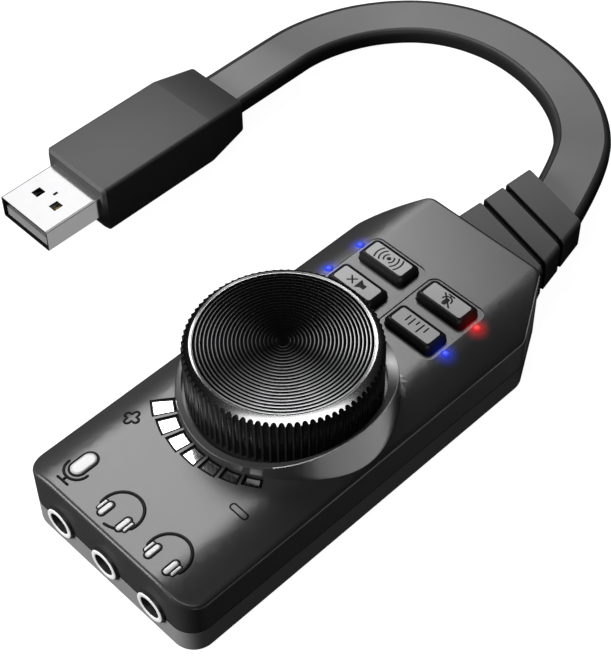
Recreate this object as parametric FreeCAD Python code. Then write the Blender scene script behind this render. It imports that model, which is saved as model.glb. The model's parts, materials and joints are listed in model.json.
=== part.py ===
import FreeCAD, Part
import math
import os

# USB sound card: a small two-shell case with a volume knob, four push buttons, three 3.5 mm jacks on
# its front face, and a short flat cord to a USB-A plug. Millimetres, +Z up, +Y towards the cord,
# jacks facing -Y, origin under the middle of the case on the surface it stands on.

# Case in plan
case_width = 35.3
case_length = 78.9
rear_width = 23.0
rear_taper_length = 10.6
front_corner_radius = 3.6
shoulder_radius = 4.0
rear_corner_radius = 2.0

# Case walls and seam
wall = 1.5
roof = 1.2
floor = 1.4
seam_below_jack = 0.5
seam_gap = 0.15
lip_height = 1.0
lip_thickness = 0.65
lip_clearance = 0.1
bottom_edge_radius = 0.4
top_edge_radius = 0.7

# Crown of the top cover
crown_flat_width = 20.0
crown_drop = 2.1
crown_rise = 1.2

# Jacks
jack_pitch = 9.76
jack_bore_diameter = 3.6
jack_ring_diameter = 5.4
jack_ring_proud = 0.6
jack_ring_clearance = 0.05
jack_front_gap = 0.1
jack_body_width = 7.0
jack_body_height = 5.6
jack_body_length = 13.5
jack_bore_end_wall = 1.5
jack_floor_gap = 1.0
contact_thickness = 0.3
contact_width = 1.6
contact_finger_height = 1.0
contact_finger_clearance = 0.1
contact_bore_gap = 0.2
contact_drop = 3.6
contact_setbacks = (4.7, 8.8)

# Main board
board_thickness = 1.0
board_edge_gap = 0.35

# Screws and the posts that clamp the board
post_diameter = 4.2
post_wall_gap = 0.3
post_part_gap = 0.3
rear_post_pitch = 23.2
screw_diameter = 2.0
screw_hole_clearance = 0.1
screw_thread_clearance = 0.02
screw_bite = 2.0
screw_pilot_spare = 0.4
screw_head_diameter = 3.6
screw_head_height = 1.1
screw_head_recess = 0.2
screw_head_clearance = 0.15
screw_cross_width = 0.5
screw_cross_length = 2.2
screw_cross_depth = 0.5

# Push buttons and their switches
button_setback = 19.1
button_row_pitch = 6.94
button_column_pitch = 12.1
cap_length = 9.3
cap_width = 4.6
cap_corner_radius = 0.9
cap_height = 1.25
cap_bevel = 0.7
cap_bevel_height = 0.6
cap_top_corner_radius = 0.3
cap_clearance = 0.12
cap_flange_overhang = 0.5
cap_flange_thickness = 0.6
cap_flange_gap = 0.15
cap_stem_diameter = 2.6
cap_stem_length = 0.1
bay_margin = 0.9
bay_depth = 0.2
bay_corner_radius = 1.5
switch_width = 4.5
switch_height = 1.85
switch_floor = 0.3
plunger_diameter = 2.0
plunger_clearance = 0.08
plunger_proud = 0.6
plunger_length = 1.5

# Status lights
light_pitch = 24.3
light_pipe_diameter = 1.3
light_pipe_clearance = 0.05
light_pipe_proud = 0.12
light_pipe_flange_diameter = 1.6
light_pipe_flange_thickness = 0.5
light_pipe_flange_gap = 0.1
led_length = 1.6
led_width = 0.8
led_height = 0.6
led_gap = 0.15

# Knob, collar and encoder
knob_button_gap = 4.46
collar_roof = 1.2
collar_cheek = 3.0
collar_rim_radius = 0.2
collar_knob_gap = 0.45
collar_top_width = 31.0
collar_top_length = 33.0
collar_foot_width = 34.2
collar_foot_length = 33.2
collar_setback = 0.6
collar_wall = 1.5
knob_gap = 0.5
knob_height = 9.6
knob_radius = 14.57
knob_rib_count = 84
knob_rib_depth = 0.5
knob_rib_profile = ((0, 0), (0.22, 0), (0.5, 1), (0.72, 1))
knob_chamfer_run = 1.2
knob_chamfer_depth = 0.95
knob_shell = 1.9
knob_top_thickness = 2.6
knob_hub_wall = 1.6
disc_rim = 0.3
disc_thickness = 0.8
disc_groove_count = 22
disc_groove_depth = 0.14
disc_centre_radius = 0.75
disc_edge_land = 0.2
encoder_width = 12.0
encoder_height = 3.6
encoder_clearance = 0.2
encoder_floor = 0.5
shaft_diameter = 6.0
shaft_running_clearance = 0.05
shaft_flat = 0.6
shaft_top_cover = 1.3
bushing_diameter = 7.2
bushing_hole_clearance = 0.1
bushing_proud = 2.4
nut_sides = 6
nut_across_flats = 10.0
nut_thickness = 1.6
nut_thread_clearance = 0.02

# Level scale beside the knob
scale_bar_count = 7
scale_first_angle = -125.1
scale_bar_pitch_angle = 10.95
scale_bar_angle = 8.2
scale_foot_gap = 0.2
scale_longest_bar = 3.3
scale_shortest_bar = 1.45
scale_window_clearance = 0.2
scale_bar_recess = 0.25
scale_plate_margin = 0.6
scale_plate_thickness = 0.8
scale_plate_gap = 0.05

# Strain relief
relief_length = 18.2
relief_root_width = 19.2
relief_end_width = 14.6
relief_root_height = 6.9
relief_end_height = 6.1
relief_root_shift = 1.0
relief_end_shift = -0.5
relief_skew = -13.5
relief_corner_radius = 0.9
relief_groove_width = 0.8
relief_groove_depth = 0.9
relief_tier_ends = (6.6, 12.05)
relief_neck_width = 13.0
relief_neck_height = 4.4
relief_neck_clearance = 0.05
relief_flange_width = 16.0
relief_flange_height = 6.2
relief_flange_thickness = 1.6

# Flat cord and its route, from the strain relief to the plug
cord_width = 9.8
cord_thickness = 3.2
cord_edge_radius = 1.0
cord_corner_reach = 0.45
cord_route = [
    (1.55, 52.9, 5.95),
    (-3.6, 69.25, 5.2),
    (-12.1, 80.2, 3.1),
    (-24.0, 87.05, 1.65),
    (-37.2, 88.45, 1.65),
    (-49.8, 84.25, 1.65),
    (-58.8, 74.65, 1.65),
    (-62.3, 62.05, 2.7),
    (-60.6, 49.8, 4.7),
    (-60.6, 37.8, 4.7),
]

# Lead wires and their connector
lead_pitch = 2.0
lead_diameter = 1.1
connector_length = 10.0
connector_width = 3.5
connector_height = 3.4
connector_setback = 2.4

# Plug
overmold_width = 15.2
overmold_height = 9.4
overmold_length = 32.2
overmold_taper_length = 8.1
overmold_end_width = 13.1
overmold_end_height = 6.9
overmold_corner_radius = 0.7
overmold_front_chamfer = 0.6
shell_width = 12.0
shell_height = 4.5
shell_wall = 0.3
shell_corner_radius = 0.4
shell_length = 11.2
shell_embed = 6.0
shell_hole_length = 1.8
shell_hole_width = 1.6
shell_hole_pitch = 4.6
shell_hole_setback = 5.0
shell_slot_length = 0.9
shell_slot_width = 0.5
shell_slot_setback = 6.8
tongue_thickness = 1.9
tongue_setback = 0.5
tongue_mouth_depth = 8.8
strip_count = 4
strip_width = 1.0
strip_pitch = 2.2
strip_thickness = 0.15
strip_length = 7.4

# Chips and small parts on the board
codec_size = 7.0
codec_height = 1.0
amplifier_length = 5.0
amplifier_width = 4.0
amplifier_height = 1.1
amplifier_gap = 4.5
crystal_length = 5.0
crystal_width = 2.4
crystal_end_radius = 1.15
crystal_height = 1.3
capacitor_diameter = 4.0
capacitor_height = 4.2
capacitor_pitch = 8.0
resistor_length = 1.6
resistor_width = 0.8
resistor_height = 0.5
resistor_count = 6
resistor_pitch = 2.4
resistor_row_setback = 11.5

# Places that follow from the sizes above
V = FreeCAD.Vector
AXIS_X = V(1, 0, 0)
AXIS_Y = V(0, 1, 0)
AXIS_Z = V(0, 0, 1)
tolerance = 0.001
os.makedirs("parts", exist_ok=True)

y_front = -(case_length + jack_ring_proud) / 2 + jack_ring_proud
y_rear = y_front + case_length
y_shoulder = y_rear - rear_taper_length
half_width = case_width / 2

jack_axis_z = floor + jack_floor_gap + jack_body_height / 2
parting_z = jack_axis_z - seam_below_jack
board_bottom_z = floor + jack_floor_gap + jack_body_height
board_top_z = board_bottom_z + board_thickness
switch_top_z = board_top_z + switch_height
plunger_top_z = switch_top_z + plunger_proud
flange_bottom_z = plunger_top_z + cap_stem_length
flange_top_z = flange_bottom_z + cap_flange_thickness

button_y = y_rear - button_setback
crown_at_buttons = flange_top_z + cap_flange_gap + roof + crown_rise * button_row_pitch / case_length
crown_front_z = crown_at_buttons - crown_rise * (button_y - y_front) / case_length
crease_z = crown_front_z - crown_drop

knob_y = button_y - button_row_pitch / 2 - cap_width / 2 - knob_button_gap - knob_radius
collar_y = knob_y + collar_setback
encoder_top_z = board_top_z + encoder_height
collar_ceiling_z = encoder_top_z + encoder_clearance
collar_top_z = collar_ceiling_z + collar_roof
cheek_top_z = collar_top_z + collar_cheek
knob_bottom_z = collar_top_z + knob_gap
knob_top_z = knob_bottom_z + knob_height

ring_y = y_front - jack_ring_proud
jack_front_y = y_front + wall + jack_front_gap
jack_rear_y = jack_front_y + jack_body_length
post_radius = post_diameter / 2
front_post_x = half_width - wall - post_radius - post_wall_gap
front_post_y = jack_rear_y + post_radius + post_part_gap
button_rear_y = button_y + button_row_pitch / 2 + cap_width / 2 + cap_flange_overhang
rear_post_y = button_rear_y + post_radius + post_part_gap
relief_flange_y = y_rear - wall - relief_flange_thickness
connector_rear_y = relief_flange_y - connector_setback
cord_axis_z = cord_route[0][2]
plug_x, overmold_rear_y, plug_z = cord_route[-1]
overmold_front_y = overmold_rear_y - overmold_length

posts = [
    (front_post_x, front_post_y),
    (-front_post_x, front_post_y),
    (rear_post_pitch / 2, rear_post_y),
    (-rear_post_pitch / 2, rear_post_y),
]
jacks = {"microphone": -jack_pitch, "headset": 0.0, "headphone": jack_pitch}
button_rows = (button_y - button_row_pitch / 2, button_y + button_row_pitch / 2)
buttons = {
    "surround": (-button_column_pitch / 2, button_rows[1]),
    "speaker_mute": (-button_column_pitch / 2, button_rows[0]),
    "microphone_mute": (button_column_pitch / 2, button_rows[1]),
    "equaliser": (button_column_pitch / 2, button_rows[0]),
}


def light_place(button):
    """Centre of the status light beside a button."""
    x, y = buttons[button]
    return math.copysign(light_pitch / 2, x), y


def write(node, shape):
    """Check a piece and write it to its own file."""
    shape = shape.removeSplitter()
    if not shape.isValid():
        raise ValueError(node + " is not a valid shape")
    print(node, "solids", len(shape.Solids), "volume", round(shape.Volume, 2))
    shape.exportStep("parts/" + node + ".step")


def box(x_range, y_range, z_range):
    """Block between three pairs of limits."""
    low = V(x_range[0], y_range[0], z_range[0])
    size = V(x_range[1], y_range[1], z_range[1]) - low
    return Part.makeBox(size.x, size.y, size.z, low)


def rod(diameter, start, axis, length):
    """Cylinder from a point along an axis."""
    return Part.makeCylinder(diameter / 2, length, start, axis)


def rounded_wire(corners):
    """Closed wire through (point, radius) corners, each rounded by a tangent arc."""
    edges = []
    ends = []
    count = len(corners)
    for index, (corner, radius) in enumerate(corners):
        to_before = V(corners[index - 1][0] - corner).normalize()
        to_after = V(corners[(index + 1) % count][0] - corner).normalize()
        if radius <= 0:
            ends.append((corner, None, corner))
            continue
        half_turn = (math.pi - to_before.getAngle(to_after)) / 2
        reach = radius * math.tan(half_turn)
        inward = V(to_before + to_after).normalize()
        middle = corner + inward * (radius / math.cos(half_turn) - radius)
        ends.append((corner + to_before * reach, middle, corner + to_after * reach))
    for index, (start, middle, end) in enumerate(ends):
        if middle is not None:
            edges.append(Part.Arc(start, middle, end).toShape())
        following = ends[(index + 1) % count][0]
        if (following - end).Length > tolerance:
            edges.append(Part.LineSegment(end, following).toShape())
    return Part.Wire(edges)


def rectangle_wire(centre, across, up, width, height, radius):
    """Rounded rectangle about a centre, in the plane of two directions."""
    corners = []
    for side, level in ((-1, -1), (1, -1), (1, 1), (-1, 1)):
        point = centre + across * (side * width / 2) + up * (level * height / 2)
        corners.append((point, radius))
    return rounded_wire(corners)


def rounded_block(x, y, length, width, radius, z_range):
    """Upright block with rounded corners in plan."""
    wire = rectangle_wire(V(x, y, z_range[0]), AXIS_X, AXIS_Y, length, width, radius)
    return Part.Face(wire).extrude(V(0, 0, z_range[1] - z_range[0]))


def case_prism(inset, z_range):
    """The case's plan outline, moved in by a distance and extruded."""
    plan = [
        (V(-half_width, y_front, 0), front_corner_radius),
        (V(half_width, y_front, 0), front_corner_radius),
        (V(half_width, y_shoulder, 0), shoulder_radius),
        (V(rear_width / 2, y_rear, 0), rear_corner_radius),
        (V(-rear_width / 2, y_rear, 0), rear_corner_radius),
        (V(-half_width, y_shoulder, 0), shoulder_radius),
    ]
    corners = []
    for index, (point, radius) in enumerate(plan):
        along_in = V(point - plan[index - 1][0]).normalize()
        along_out = V(plan[(index + 1) % len(plan)][0] - point).normalize()
        normal_in = V(along_in.y, -along_in.x, 0)
        normal_out = V(along_out.y, -along_out.x, 0)
        share = inset / (1 + normal_in.dot(normal_out))
        moved = point - (normal_in + normal_out) * share
        corners.append((moved + V(0, 0, z_range[0]), max(radius - inset, 0)))
    return Part.Face(rounded_wire(corners)).extrude(V(0, 0, z_range[1] - z_range[0]))


def crown_top(y):
    """Height of the crown's flat middle at a place along the case."""
    return crown_front_z + crown_rise * (y - y_front) / case_length


def crown_arc_radius(y, half):
    """Radius of the crown's shoulder, level at the flat and down to the crease at the wall."""
    run = half - crown_flat_width / 2
    drop = crown_top(y) - crease_z
    return (run * run + drop * drop) / (2 * drop)


def crown_z(x, y, inset=0, lower=0):
    """Height of the top cover's outer surface, or of its inner one a wall and a roof further in."""
    radius = crown_arc_radius(y, half_width - inset)
    beyond = max(abs(x) - crown_flat_width / 2, 0)
    return crown_top(y) - lower - radius + math.sqrt(radius * radius - beyond * beyond)


def crown_section(y, inset, lower):
    """Section across the case: the flat of the crown and two curved shoulders that run on past the walls."""
    flat = crown_flat_width / 2
    top = crown_top(y) - lower
    radius = crown_arc_radius(y, half_width - inset)
    at_wall = math.asin((half_width - inset - flat) / radius)
    sweep = at_wall + min(wall / radius, (math.pi / 2 - at_wall) / 2)
    reach = flat + radius * math.sin(sweep)
    middle_x = flat + radius * math.sin(sweep / 2)
    middle_z = top - radius + radius * math.cos(sweep / 2)
    foot_z = top - radius + radius * math.cos(sweep)
    edges = [
        Part.LineSegment(V(-reach, y, 0), V(reach, y, 0)).toShape(),
        Part.LineSegment(V(reach, y, 0), V(reach, y, foot_z)).toShape(),
        Part.Arc(V(reach, y, foot_z), V(middle_x, y, middle_z), V(flat, y, top)).toShape(),
        Part.LineSegment(V(flat, y, top), V(-flat, y, top)).toShape(),
        Part.Arc(V(-flat, y, top), V(-middle_x, y, middle_z), V(-reach, y, foot_z)).toShape(),
        Part.LineSegment(V(-reach, y, foot_z), V(-reach, y, 0)).toShape(),
    ]
    return Part.Wire(edges)


def crown_form(inset, lower, base_z):
    """Everything under the crown and inside the case's plan, from a level up."""
    sections = [crown_section(y_front - wall, inset, lower), crown_section(y_rear + wall, inset, lower)]
    form = Part.makeLoft(sections, True, True)
    return form.common(case_prism(inset, (base_z, knob_top_z)))


def collar_ring(width, length, z):
    """Oval outline of the collar at one level."""
    points = []
    for step in range(48):
        turn = math.radians(step * 7.5)
        points.append(V(width / 2 * math.cos(turn), collar_y + length / 2 * math.sin(turn), z))
    curve = Part.BSplineCurve()
    curve.interpolate(points, PeriodicFlag=True)
    return Part.Wire(curve.toShape())


def scale_sector(inner, outer, middle_angle, angle, z_range):
    """Ring sector about the knob's axis."""
    start = math.radians(middle_angle - angle / 2)
    middle = math.radians(middle_angle)
    end = math.radians(middle_angle + angle / 2)

    def at(radius, turn):
        return V(radius * math.cos(turn), knob_y + radius * math.sin(turn), z_range[0])

    edges = [
        Part.Arc(at(outer, start), at(outer, middle), at(outer, end)).toShape(),
        Part.LineSegment(at(outer, end), at(inner, end)).toShape(),
        Part.Arc(at(inner, end), at(inner, middle), at(inner, start)).toShape(),
        Part.LineSegment(at(inner, start), at(outer, start)).toShape(),
    ]
    return Part.Face(Part.Wire(edges)).extrude(V(0, 0, z_range[1] - z_range[0]))


scale_inner = collar_foot_length / 2 - collar_setback + scale_foot_gap
scale_bars = []
for bar in range(scale_bar_count):
    share = bar / (scale_bar_count - 1)
    bar_length = scale_longest_bar + (scale_shortest_bar - scale_longest_bar) * share
    scale_bars.append((scale_first_angle + scale_bar_pitch_angle * bar, bar_length))


# Top cover: moulded shell with a gently arched crown, the round collar under the knob, windows for
# the level scale, openings for buttons and lights, and four bosses that press on the board.
top_outer = crown_form(0, 0, parting_z + seam_gap)
rim = []
for edge in top_outer.Edges:
    on_top = min(vertex.Z for vertex in edge.Vertexes) > crease_z - tolerance
    middle = edge.valueAt((edge.FirstParameter + edge.LastParameter) / 2)
    inside = case_prism(tolerance, (0, knob_top_z)).isInside(middle, tolerance / 10, False)
    if on_top and not inside:
        rim.append(edge)
top_outer = top_outer.makeFillet(top_edge_radius, rim)
collar_top = collar_ring(collar_top_width, collar_top_length, cheek_top_z)
collar_foot = collar_ring(collar_foot_width, collar_foot_length, crease_z)
collar = Part.makeLoft([collar_foot, collar_top], True, True)
collar = collar.common(case_prism(0, (crease_z, cheek_top_z)))
arch_half = collar_foot_length / 2
arch_start = V(-half_width, collar_y - arch_half, collar_top_z)
arch_end = V(-half_width, collar_y + arch_half, collar_top_z)
arch_edges = [
    Part.Arc(arch_start, V(-half_width, collar_y, cheek_top_z), arch_end).toShape(),
    Part.LineSegment(arch_end, V(-half_width, collar_y + arch_half, crease_z)).toShape(),
    Part.LineSegment(V(-half_width, collar_y + arch_half, crease_z),
                     V(-half_width, collar_y - arch_half, crease_z)).toShape(),
    Part.LineSegment(V(-half_width, collar_y - arch_half, crease_z), arch_start).toShape(),
]
collar = collar.common(Part.Face(Part.Wire(arch_edges)).extrude(V(case_width, 0, 0)))
knob_room = 2 * (knob_radius + collar_knob_gap)
collar_rim = []
for edge in collar.Edges:
    low = edge.BoundBox.ZMin > collar_top_z - collar_rim_radius
    if low and edge.BoundBox.XLength > collar_wall:
        collar_rim.append(edge)
collar = collar.makeFillet(collar_rim_radius, collar_rim)
collar = collar.cut(rod(knob_room, V(0, knob_y, collar_top_z), AXIS_Z, knob_height))
top_cover = top_outer.fuse(collar)

cavity = crown_form(wall, roof, floor)
collar_bore = collar_top_width - 4 * collar_wall
collar_room = rod(collar_bore, V(0, knob_y, floor), AXIS_Z, collar_ceiling_z - floor)
top_cover = top_cover.cut(cavity).cut(collar_room)

rabbet_top = parting_z + lip_height + lip_clearance
rabbet = case_prism(wall - lip_thickness - lip_clearance, (floor, rabbet_top))
top_cover = top_cover.cut(rabbet)

boss_form = crown_form(0, roof / 2, board_top_z)
for x, y in posts:
    boss = rod(post_diameter, V(x, y, board_top_z), AXIS_Z, knob_top_z - board_top_z)
    top_cover = top_cover.fuse(boss.common(boss_form))
for x, y in posts:
    pilot = screw_diameter + 2 * screw_thread_clearance
    top_cover = top_cover.cut(rod(pilot, V(x, y, board_top_z), AXIS_Z, screw_bite + screw_pilot_spare))

for side in (-1, 1):
    bay_length = cap_length + 2 * bay_margin
    bay_width = button_row_pitch + cap_width + 2 * bay_margin
    bay_x = side * button_column_pitch / 2
    bay_sections = []
    for y in (button_y - bay_width / 2, button_y + bay_width / 2):
        bay_sections.append(Part.makePolygon([
            V(bay_x - bay_length / 2, y, crown_top(y) - bay_depth),
            V(bay_x + bay_length / 2, y, crown_top(y) - bay_depth),
            V(bay_x + bay_length / 2, y, crown_top(y) + cap_height),
            V(bay_x - bay_length / 2, y, crown_top(y) + cap_height),
            V(bay_x - bay_length / 2, y, crown_top(y) - bay_depth),
        ]))
    bay = Part.makeLoft(bay_sections, True, True)
    bay_plan = rounded_block(bay_x, button_y, bay_length, bay_width, bay_corner_radius, (0, knob_top_z))
    top_cover = top_cover.cut(bay.common(bay_plan))
for x, y in buttons.values():
    opening = rounded_block(
        x, y, cap_length + 2 * cap_clearance, cap_width + 2 * cap_clearance,
        cap_corner_radius + cap_clearance, (board_top_z, knob_top_z))
    top_cover = top_cover.cut(opening)
for button in buttons:
    x, y = light_place(button)
    hole = light_pipe_diameter + 2 * light_pipe_clearance
    top_cover = top_cover.cut(rod(hole, V(x, y, board_top_z), AXIS_Z, knob_top_z - board_top_z))
for angle, bar_length in scale_bars:
    grow = math.degrees(2 * scale_window_clearance / scale_inner)
    window = scale_sector(
        scale_inner - scale_window_clearance, scale_inner + bar_length + scale_window_clearance,
        angle, scale_bar_angle + grow, (board_top_z, crown_top(y_rear)))
    top_cover = top_cover.cut(window)

bushing_hole = bushing_diameter + 2 * bushing_hole_clearance
top_cover = top_cover.cut(rod(bushing_hole, V(0, knob_y, board_top_z), AXIS_Z, knob_top_z - board_top_z))

jack_holes = []
for x in jacks.values():
    hole = jack_ring_diameter + 2 * jack_ring_clearance
    jack_holes.append(rod(hole, V(x, ring_y, jack_axis_z), AXIS_Y, jack_front_y - ring_y))
neck_opening = Part.Face(rectangle_wire(
    V(0, relief_flange_y, cord_axis_z), AXIS_X, AXIS_Z,
    relief_neck_width + 2 * relief_neck_clearance, relief_neck_height + 2 * relief_neck_clearance,
    relief_corner_radius)).extrude(V(0, relief_length, 0))
for cutter in jack_holes + [neck_opening]:
    top_cover = top_cover.cut(cutter)
write("top_cover", top_cover)


# Bottom cover: moulded tray with a lip inside the seam and four posts under the board, each with a
# sunk seat for its screw head.
tray = case_prism(0, (0, parting_z))
foot_edges = [edge for edge in tray.Edges if edge.BoundBox.ZMax < tolerance]
tray = tray.makeFillet(bottom_edge_radius, foot_edges)
lip = case_prism(wall - lip_thickness, (floor, parting_z + lip_height))
bottom_cover = tray.fuse(lip).cut(case_prism(wall, (floor, parting_z + lip_height)))
for x, y in posts:
    post = rod(post_diameter, V(x, y, floor / 2), AXIS_Z, board_bottom_z - floor / 2)
    bottom_cover = bottom_cover.fuse(post)
screw_seat_z = screw_head_recess + screw_head_height
for x, y in posts:
    seat = rod(screw_head_diameter + 2 * screw_head_clearance, V(x, y, 0), AXIS_Z, screw_seat_z)
    shank_hole = rod(screw_diameter + 2 * screw_hole_clearance, V(x, y, 0), AXIS_Z, board_bottom_z)
    bottom_cover = bottom_cover.cut(seat).cut(shank_hole)
for cutter in jack_holes + [neck_opening]:
    bottom_cover = bottom_cover.cut(cutter)
write("bottom_cover", bottom_cover)


# Case screws: four small pan-head screws with a cross recess, up through the posts and the board
# into the top cover's bosses.
screws = []
for x, y in posts:
    head = rod(screw_head_diameter, V(x, y, screw_head_recess), AXIS_Z, screw_head_height)
    shank = rod(screw_diameter, V(x, y, screw_seat_z), AXIS_Z, board_top_z + screw_bite - screw_seat_z)
    screw = head.fuse(shank)
    recess_z = (screw_head_recess, screw_head_recess + screw_cross_depth)
    cross_sizes = (screw_cross_length, screw_cross_width)
    for length, width in (cross_sizes, cross_sizes[::-1]):
        screw = screw.cut(box((x - length / 2, x + length / 2), (y - width / 2, y + width / 2), recess_z))
    screws.append(screw)
write("case_screws", Part.makeCompound(screws))


# Main board: glass-fibre board that follows the case's plan, clamped between posts and bosses.
board = case_prism(wall + board_edge_gap, (board_bottom_z, board_top_z))
board = board.cut(box((-case_width, case_width), (relief_flange_y - post_part_gap, y_rear), (0, knob_top_z)))
for x, y in posts:
    hole = screw_diameter + 2 * screw_hole_clearance
    board = board.cut(rod(hole, V(x, y, board_bottom_z), AXIS_Z, board_thickness))
write("main_board", board)


# Jacks: a plated ring in the front wall, a moulded body under the board, and three spring contacts
# that reach through the body's sides and are soldered to the board.
for name, x in jacks.items():
    ring = rod(jack_ring_diameter, V(x, ring_y, jack_axis_z), AXIS_Y, jack_front_y - ring_y)
    bore_start = V(x, ring_y, jack_axis_z)
    bore_length = jack_rear_y - jack_bore_end_wall - ring_y
    bore = rod(jack_bore_diameter, bore_start, AXIS_Y, bore_length)
    write(name + "_jack_ring", ring.cut(bore))

    half_body = jack_body_width / 2
    body = box(
        (x - half_body, x + half_body), (jack_front_y, jack_rear_y),
        (board_bottom_z - jack_body_height, board_bottom_z)).cut(bore)
    contacts = []
    finger_start = jack_bore_diameter / 2 + contact_bore_gap
    for side, setback in zip((-1, 1), contact_setbacks):
        contact_y = jack_front_y + setback
        along = (contact_y - contact_width / 2, contact_y + contact_width / 2)
        finger_z = (jack_axis_z - contact_finger_height / 2, jack_axis_z + contact_finger_height / 2)
        leg_x = sorted((x + side * half_body, x + side * (half_body + contact_thickness)))
        finger_x = sorted((x + side * finger_start, x + side * half_body))
        leg = box(leg_x, along, (board_bottom_z - contact_drop, board_bottom_z))
        contacts.append(leg.fuse(box(finger_x, along, finger_z)))
        gap = contact_finger_clearance
        window_x = sorted((x, x + side * (half_body + gap)))
        window = box(window_x, (along[0] - gap, along[1] + gap), (finger_z[0] - gap, finger_z[1] + gap))
        body = body.cut(window)
    tail = box(
        (x - contact_width / 2, x + contact_width / 2), (jack_rear_y, jack_rear_y + contact_thickness),
        (board_bottom_z - contact_drop, board_bottom_z))
    contacts.append(tail)
    write(name + "_jack_body", body)
    write(name + "_jack_contacts", Part.makeCompound(contacts))


# Encoder: square body on the board, threaded bushing up through the collar, a nut that clamps it
# there, and the shaft with a flat that carries the knob.
shaft_bore = shaft_diameter + 2 * shaft_running_clearance
shaft_hole = rod(shaft_bore, V(0, knob_y, board_top_z + encoder_floor), AXIS_Z, knob_top_z)
encoder = box(
    (-encoder_width / 2, encoder_width / 2), (knob_y - encoder_width / 2, knob_y + encoder_width / 2),
    (board_top_z, encoder_top_z)).cut(shaft_hole)
write("encoder_body", encoder)

bushing_top_z = collar_top_z + bushing_proud
bushing = rod(bushing_diameter, V(0, knob_y, encoder_top_z), AXIS_Z, bushing_top_z - encoder_top_z)
write("encoder_bushing", bushing.cut(shaft_hole))

nut_corners = []
for corner in range(nut_sides):
    turn = 2 * math.pi * corner / nut_sides
    reach = nut_across_flats / 2 / math.cos(math.pi / nut_sides)
    nut_corners.append((V(reach * math.cos(turn), knob_y + reach * math.sin(turn), collar_top_z), 0))
nut = Part.Face(rounded_wire(nut_corners)).extrude(V(0, 0, nut_thickness))
nut_hole = bushing_diameter + 2 * nut_thread_clearance
write("encoder_nut", nut.cut(rod(nut_hole, V(0, knob_y, collar_top_z), AXIS_Z, nut_thickness)))

shaft_bottom_z = board_top_z + encoder_floor + shaft_running_clearance
hub_bottom_z = bushing_top_z + knob_gap
disc_bottom_z = knob_top_z - disc_thickness
shaft_top_z = disc_bottom_z - shaft_top_cover
shaft = rod(shaft_diameter, V(0, knob_y, shaft_bottom_z), AXIS_Z, shaft_top_z - shaft_bottom_z)
flat = box(
    (shaft_diameter / 2 - shaft_flat, shaft_diameter), (knob_y - shaft_diameter, knob_y + shaft_diameter),
    (hub_bottom_z, knob_top_z))
shaft = shaft.cut(flat)
write("encoder_shaft", shaft)


# Knob grip: turned and ribbed metal cup with a cut chamfer round its top, a hub on the shaft and a
# shallow seat for the disc.
rib_points = []
for rib in range(knob_rib_count):
    for step, depth_share in knob_rib_profile:
        turn = 2 * math.pi * (rib + step) / knob_rib_count
        radius = knob_radius - depth_share * knob_rib_depth
        rib_points.append((V(radius * math.cos(turn), knob_y + radius * math.sin(turn), knob_bottom_z), 0))
grip = Part.Face(rounded_wire(rib_points)).extrude(V(0, 0, knob_height))
chamfer_start_z = knob_top_z - knob_chamfer_depth
chamfer = Part.makeCone(
    knob_radius, knob_radius - knob_chamfer_run, knob_chamfer_depth, V(0, knob_y, chamfer_start_z), AXIS_Z)
envelope_diameter = 2 * (knob_radius + knob_rib_depth)
grip_envelope = rod(envelope_diameter, V(0, knob_y, knob_bottom_z), AXIS_Z, chamfer_start_z - knob_bottom_z)
grip = grip.common(grip_envelope.fuse(chamfer))
hollow_radius = knob_radius - knob_rib_depth - knob_shell
hollow_top_z = disc_bottom_z - knob_top_thickness
hollow = Part.makeCylinder(hollow_radius, hollow_top_z - knob_bottom_z, V(0, knob_y, knob_bottom_z), AXIS_Z)
hub_diameter = shaft_diameter + 2 * knob_hub_wall
hub = rod(hub_diameter, V(0, knob_y, hub_bottom_z), AXIS_Z, hollow_top_z - hub_bottom_z)
disc_radius = knob_radius - knob_chamfer_run - disc_rim
disc_seat = Part.makeCylinder(disc_radius, disc_thickness, V(0, knob_y, disc_bottom_z), AXIS_Z)
grip = grip.cut(hollow).fuse(hub).cut(shaft).cut(disc_seat)
write("knob_grip", grip)


# Knob disc: thin metal disc in the grip's seat, turned with concentric grooves.
groove_pitch = (disc_radius - disc_edge_land - disc_centre_radius) / disc_groove_count
profile = [V(0, knob_y, disc_bottom_z), V(0, knob_y, knob_top_z), V(disc_centre_radius, knob_y, knob_top_z)]
for groove in range(disc_groove_count):
    start = disc_centre_radius + groove * groove_pitch
    profile.append(V(start + groove_pitch / 2, knob_y, knob_top_z - disc_groove_depth))
    profile.append(V(start + groove_pitch, knob_y, knob_top_z))
profile.append(V(disc_radius, knob_y, knob_top_z))
profile.append(V(disc_radius, knob_y, disc_bottom_z))
profile.append(profile[0])
disc = Part.Face(Part.makePolygon(profile)).revolve(V(0, knob_y, 0), AXIS_Z, 360)
write("knob_disc", disc)


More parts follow.
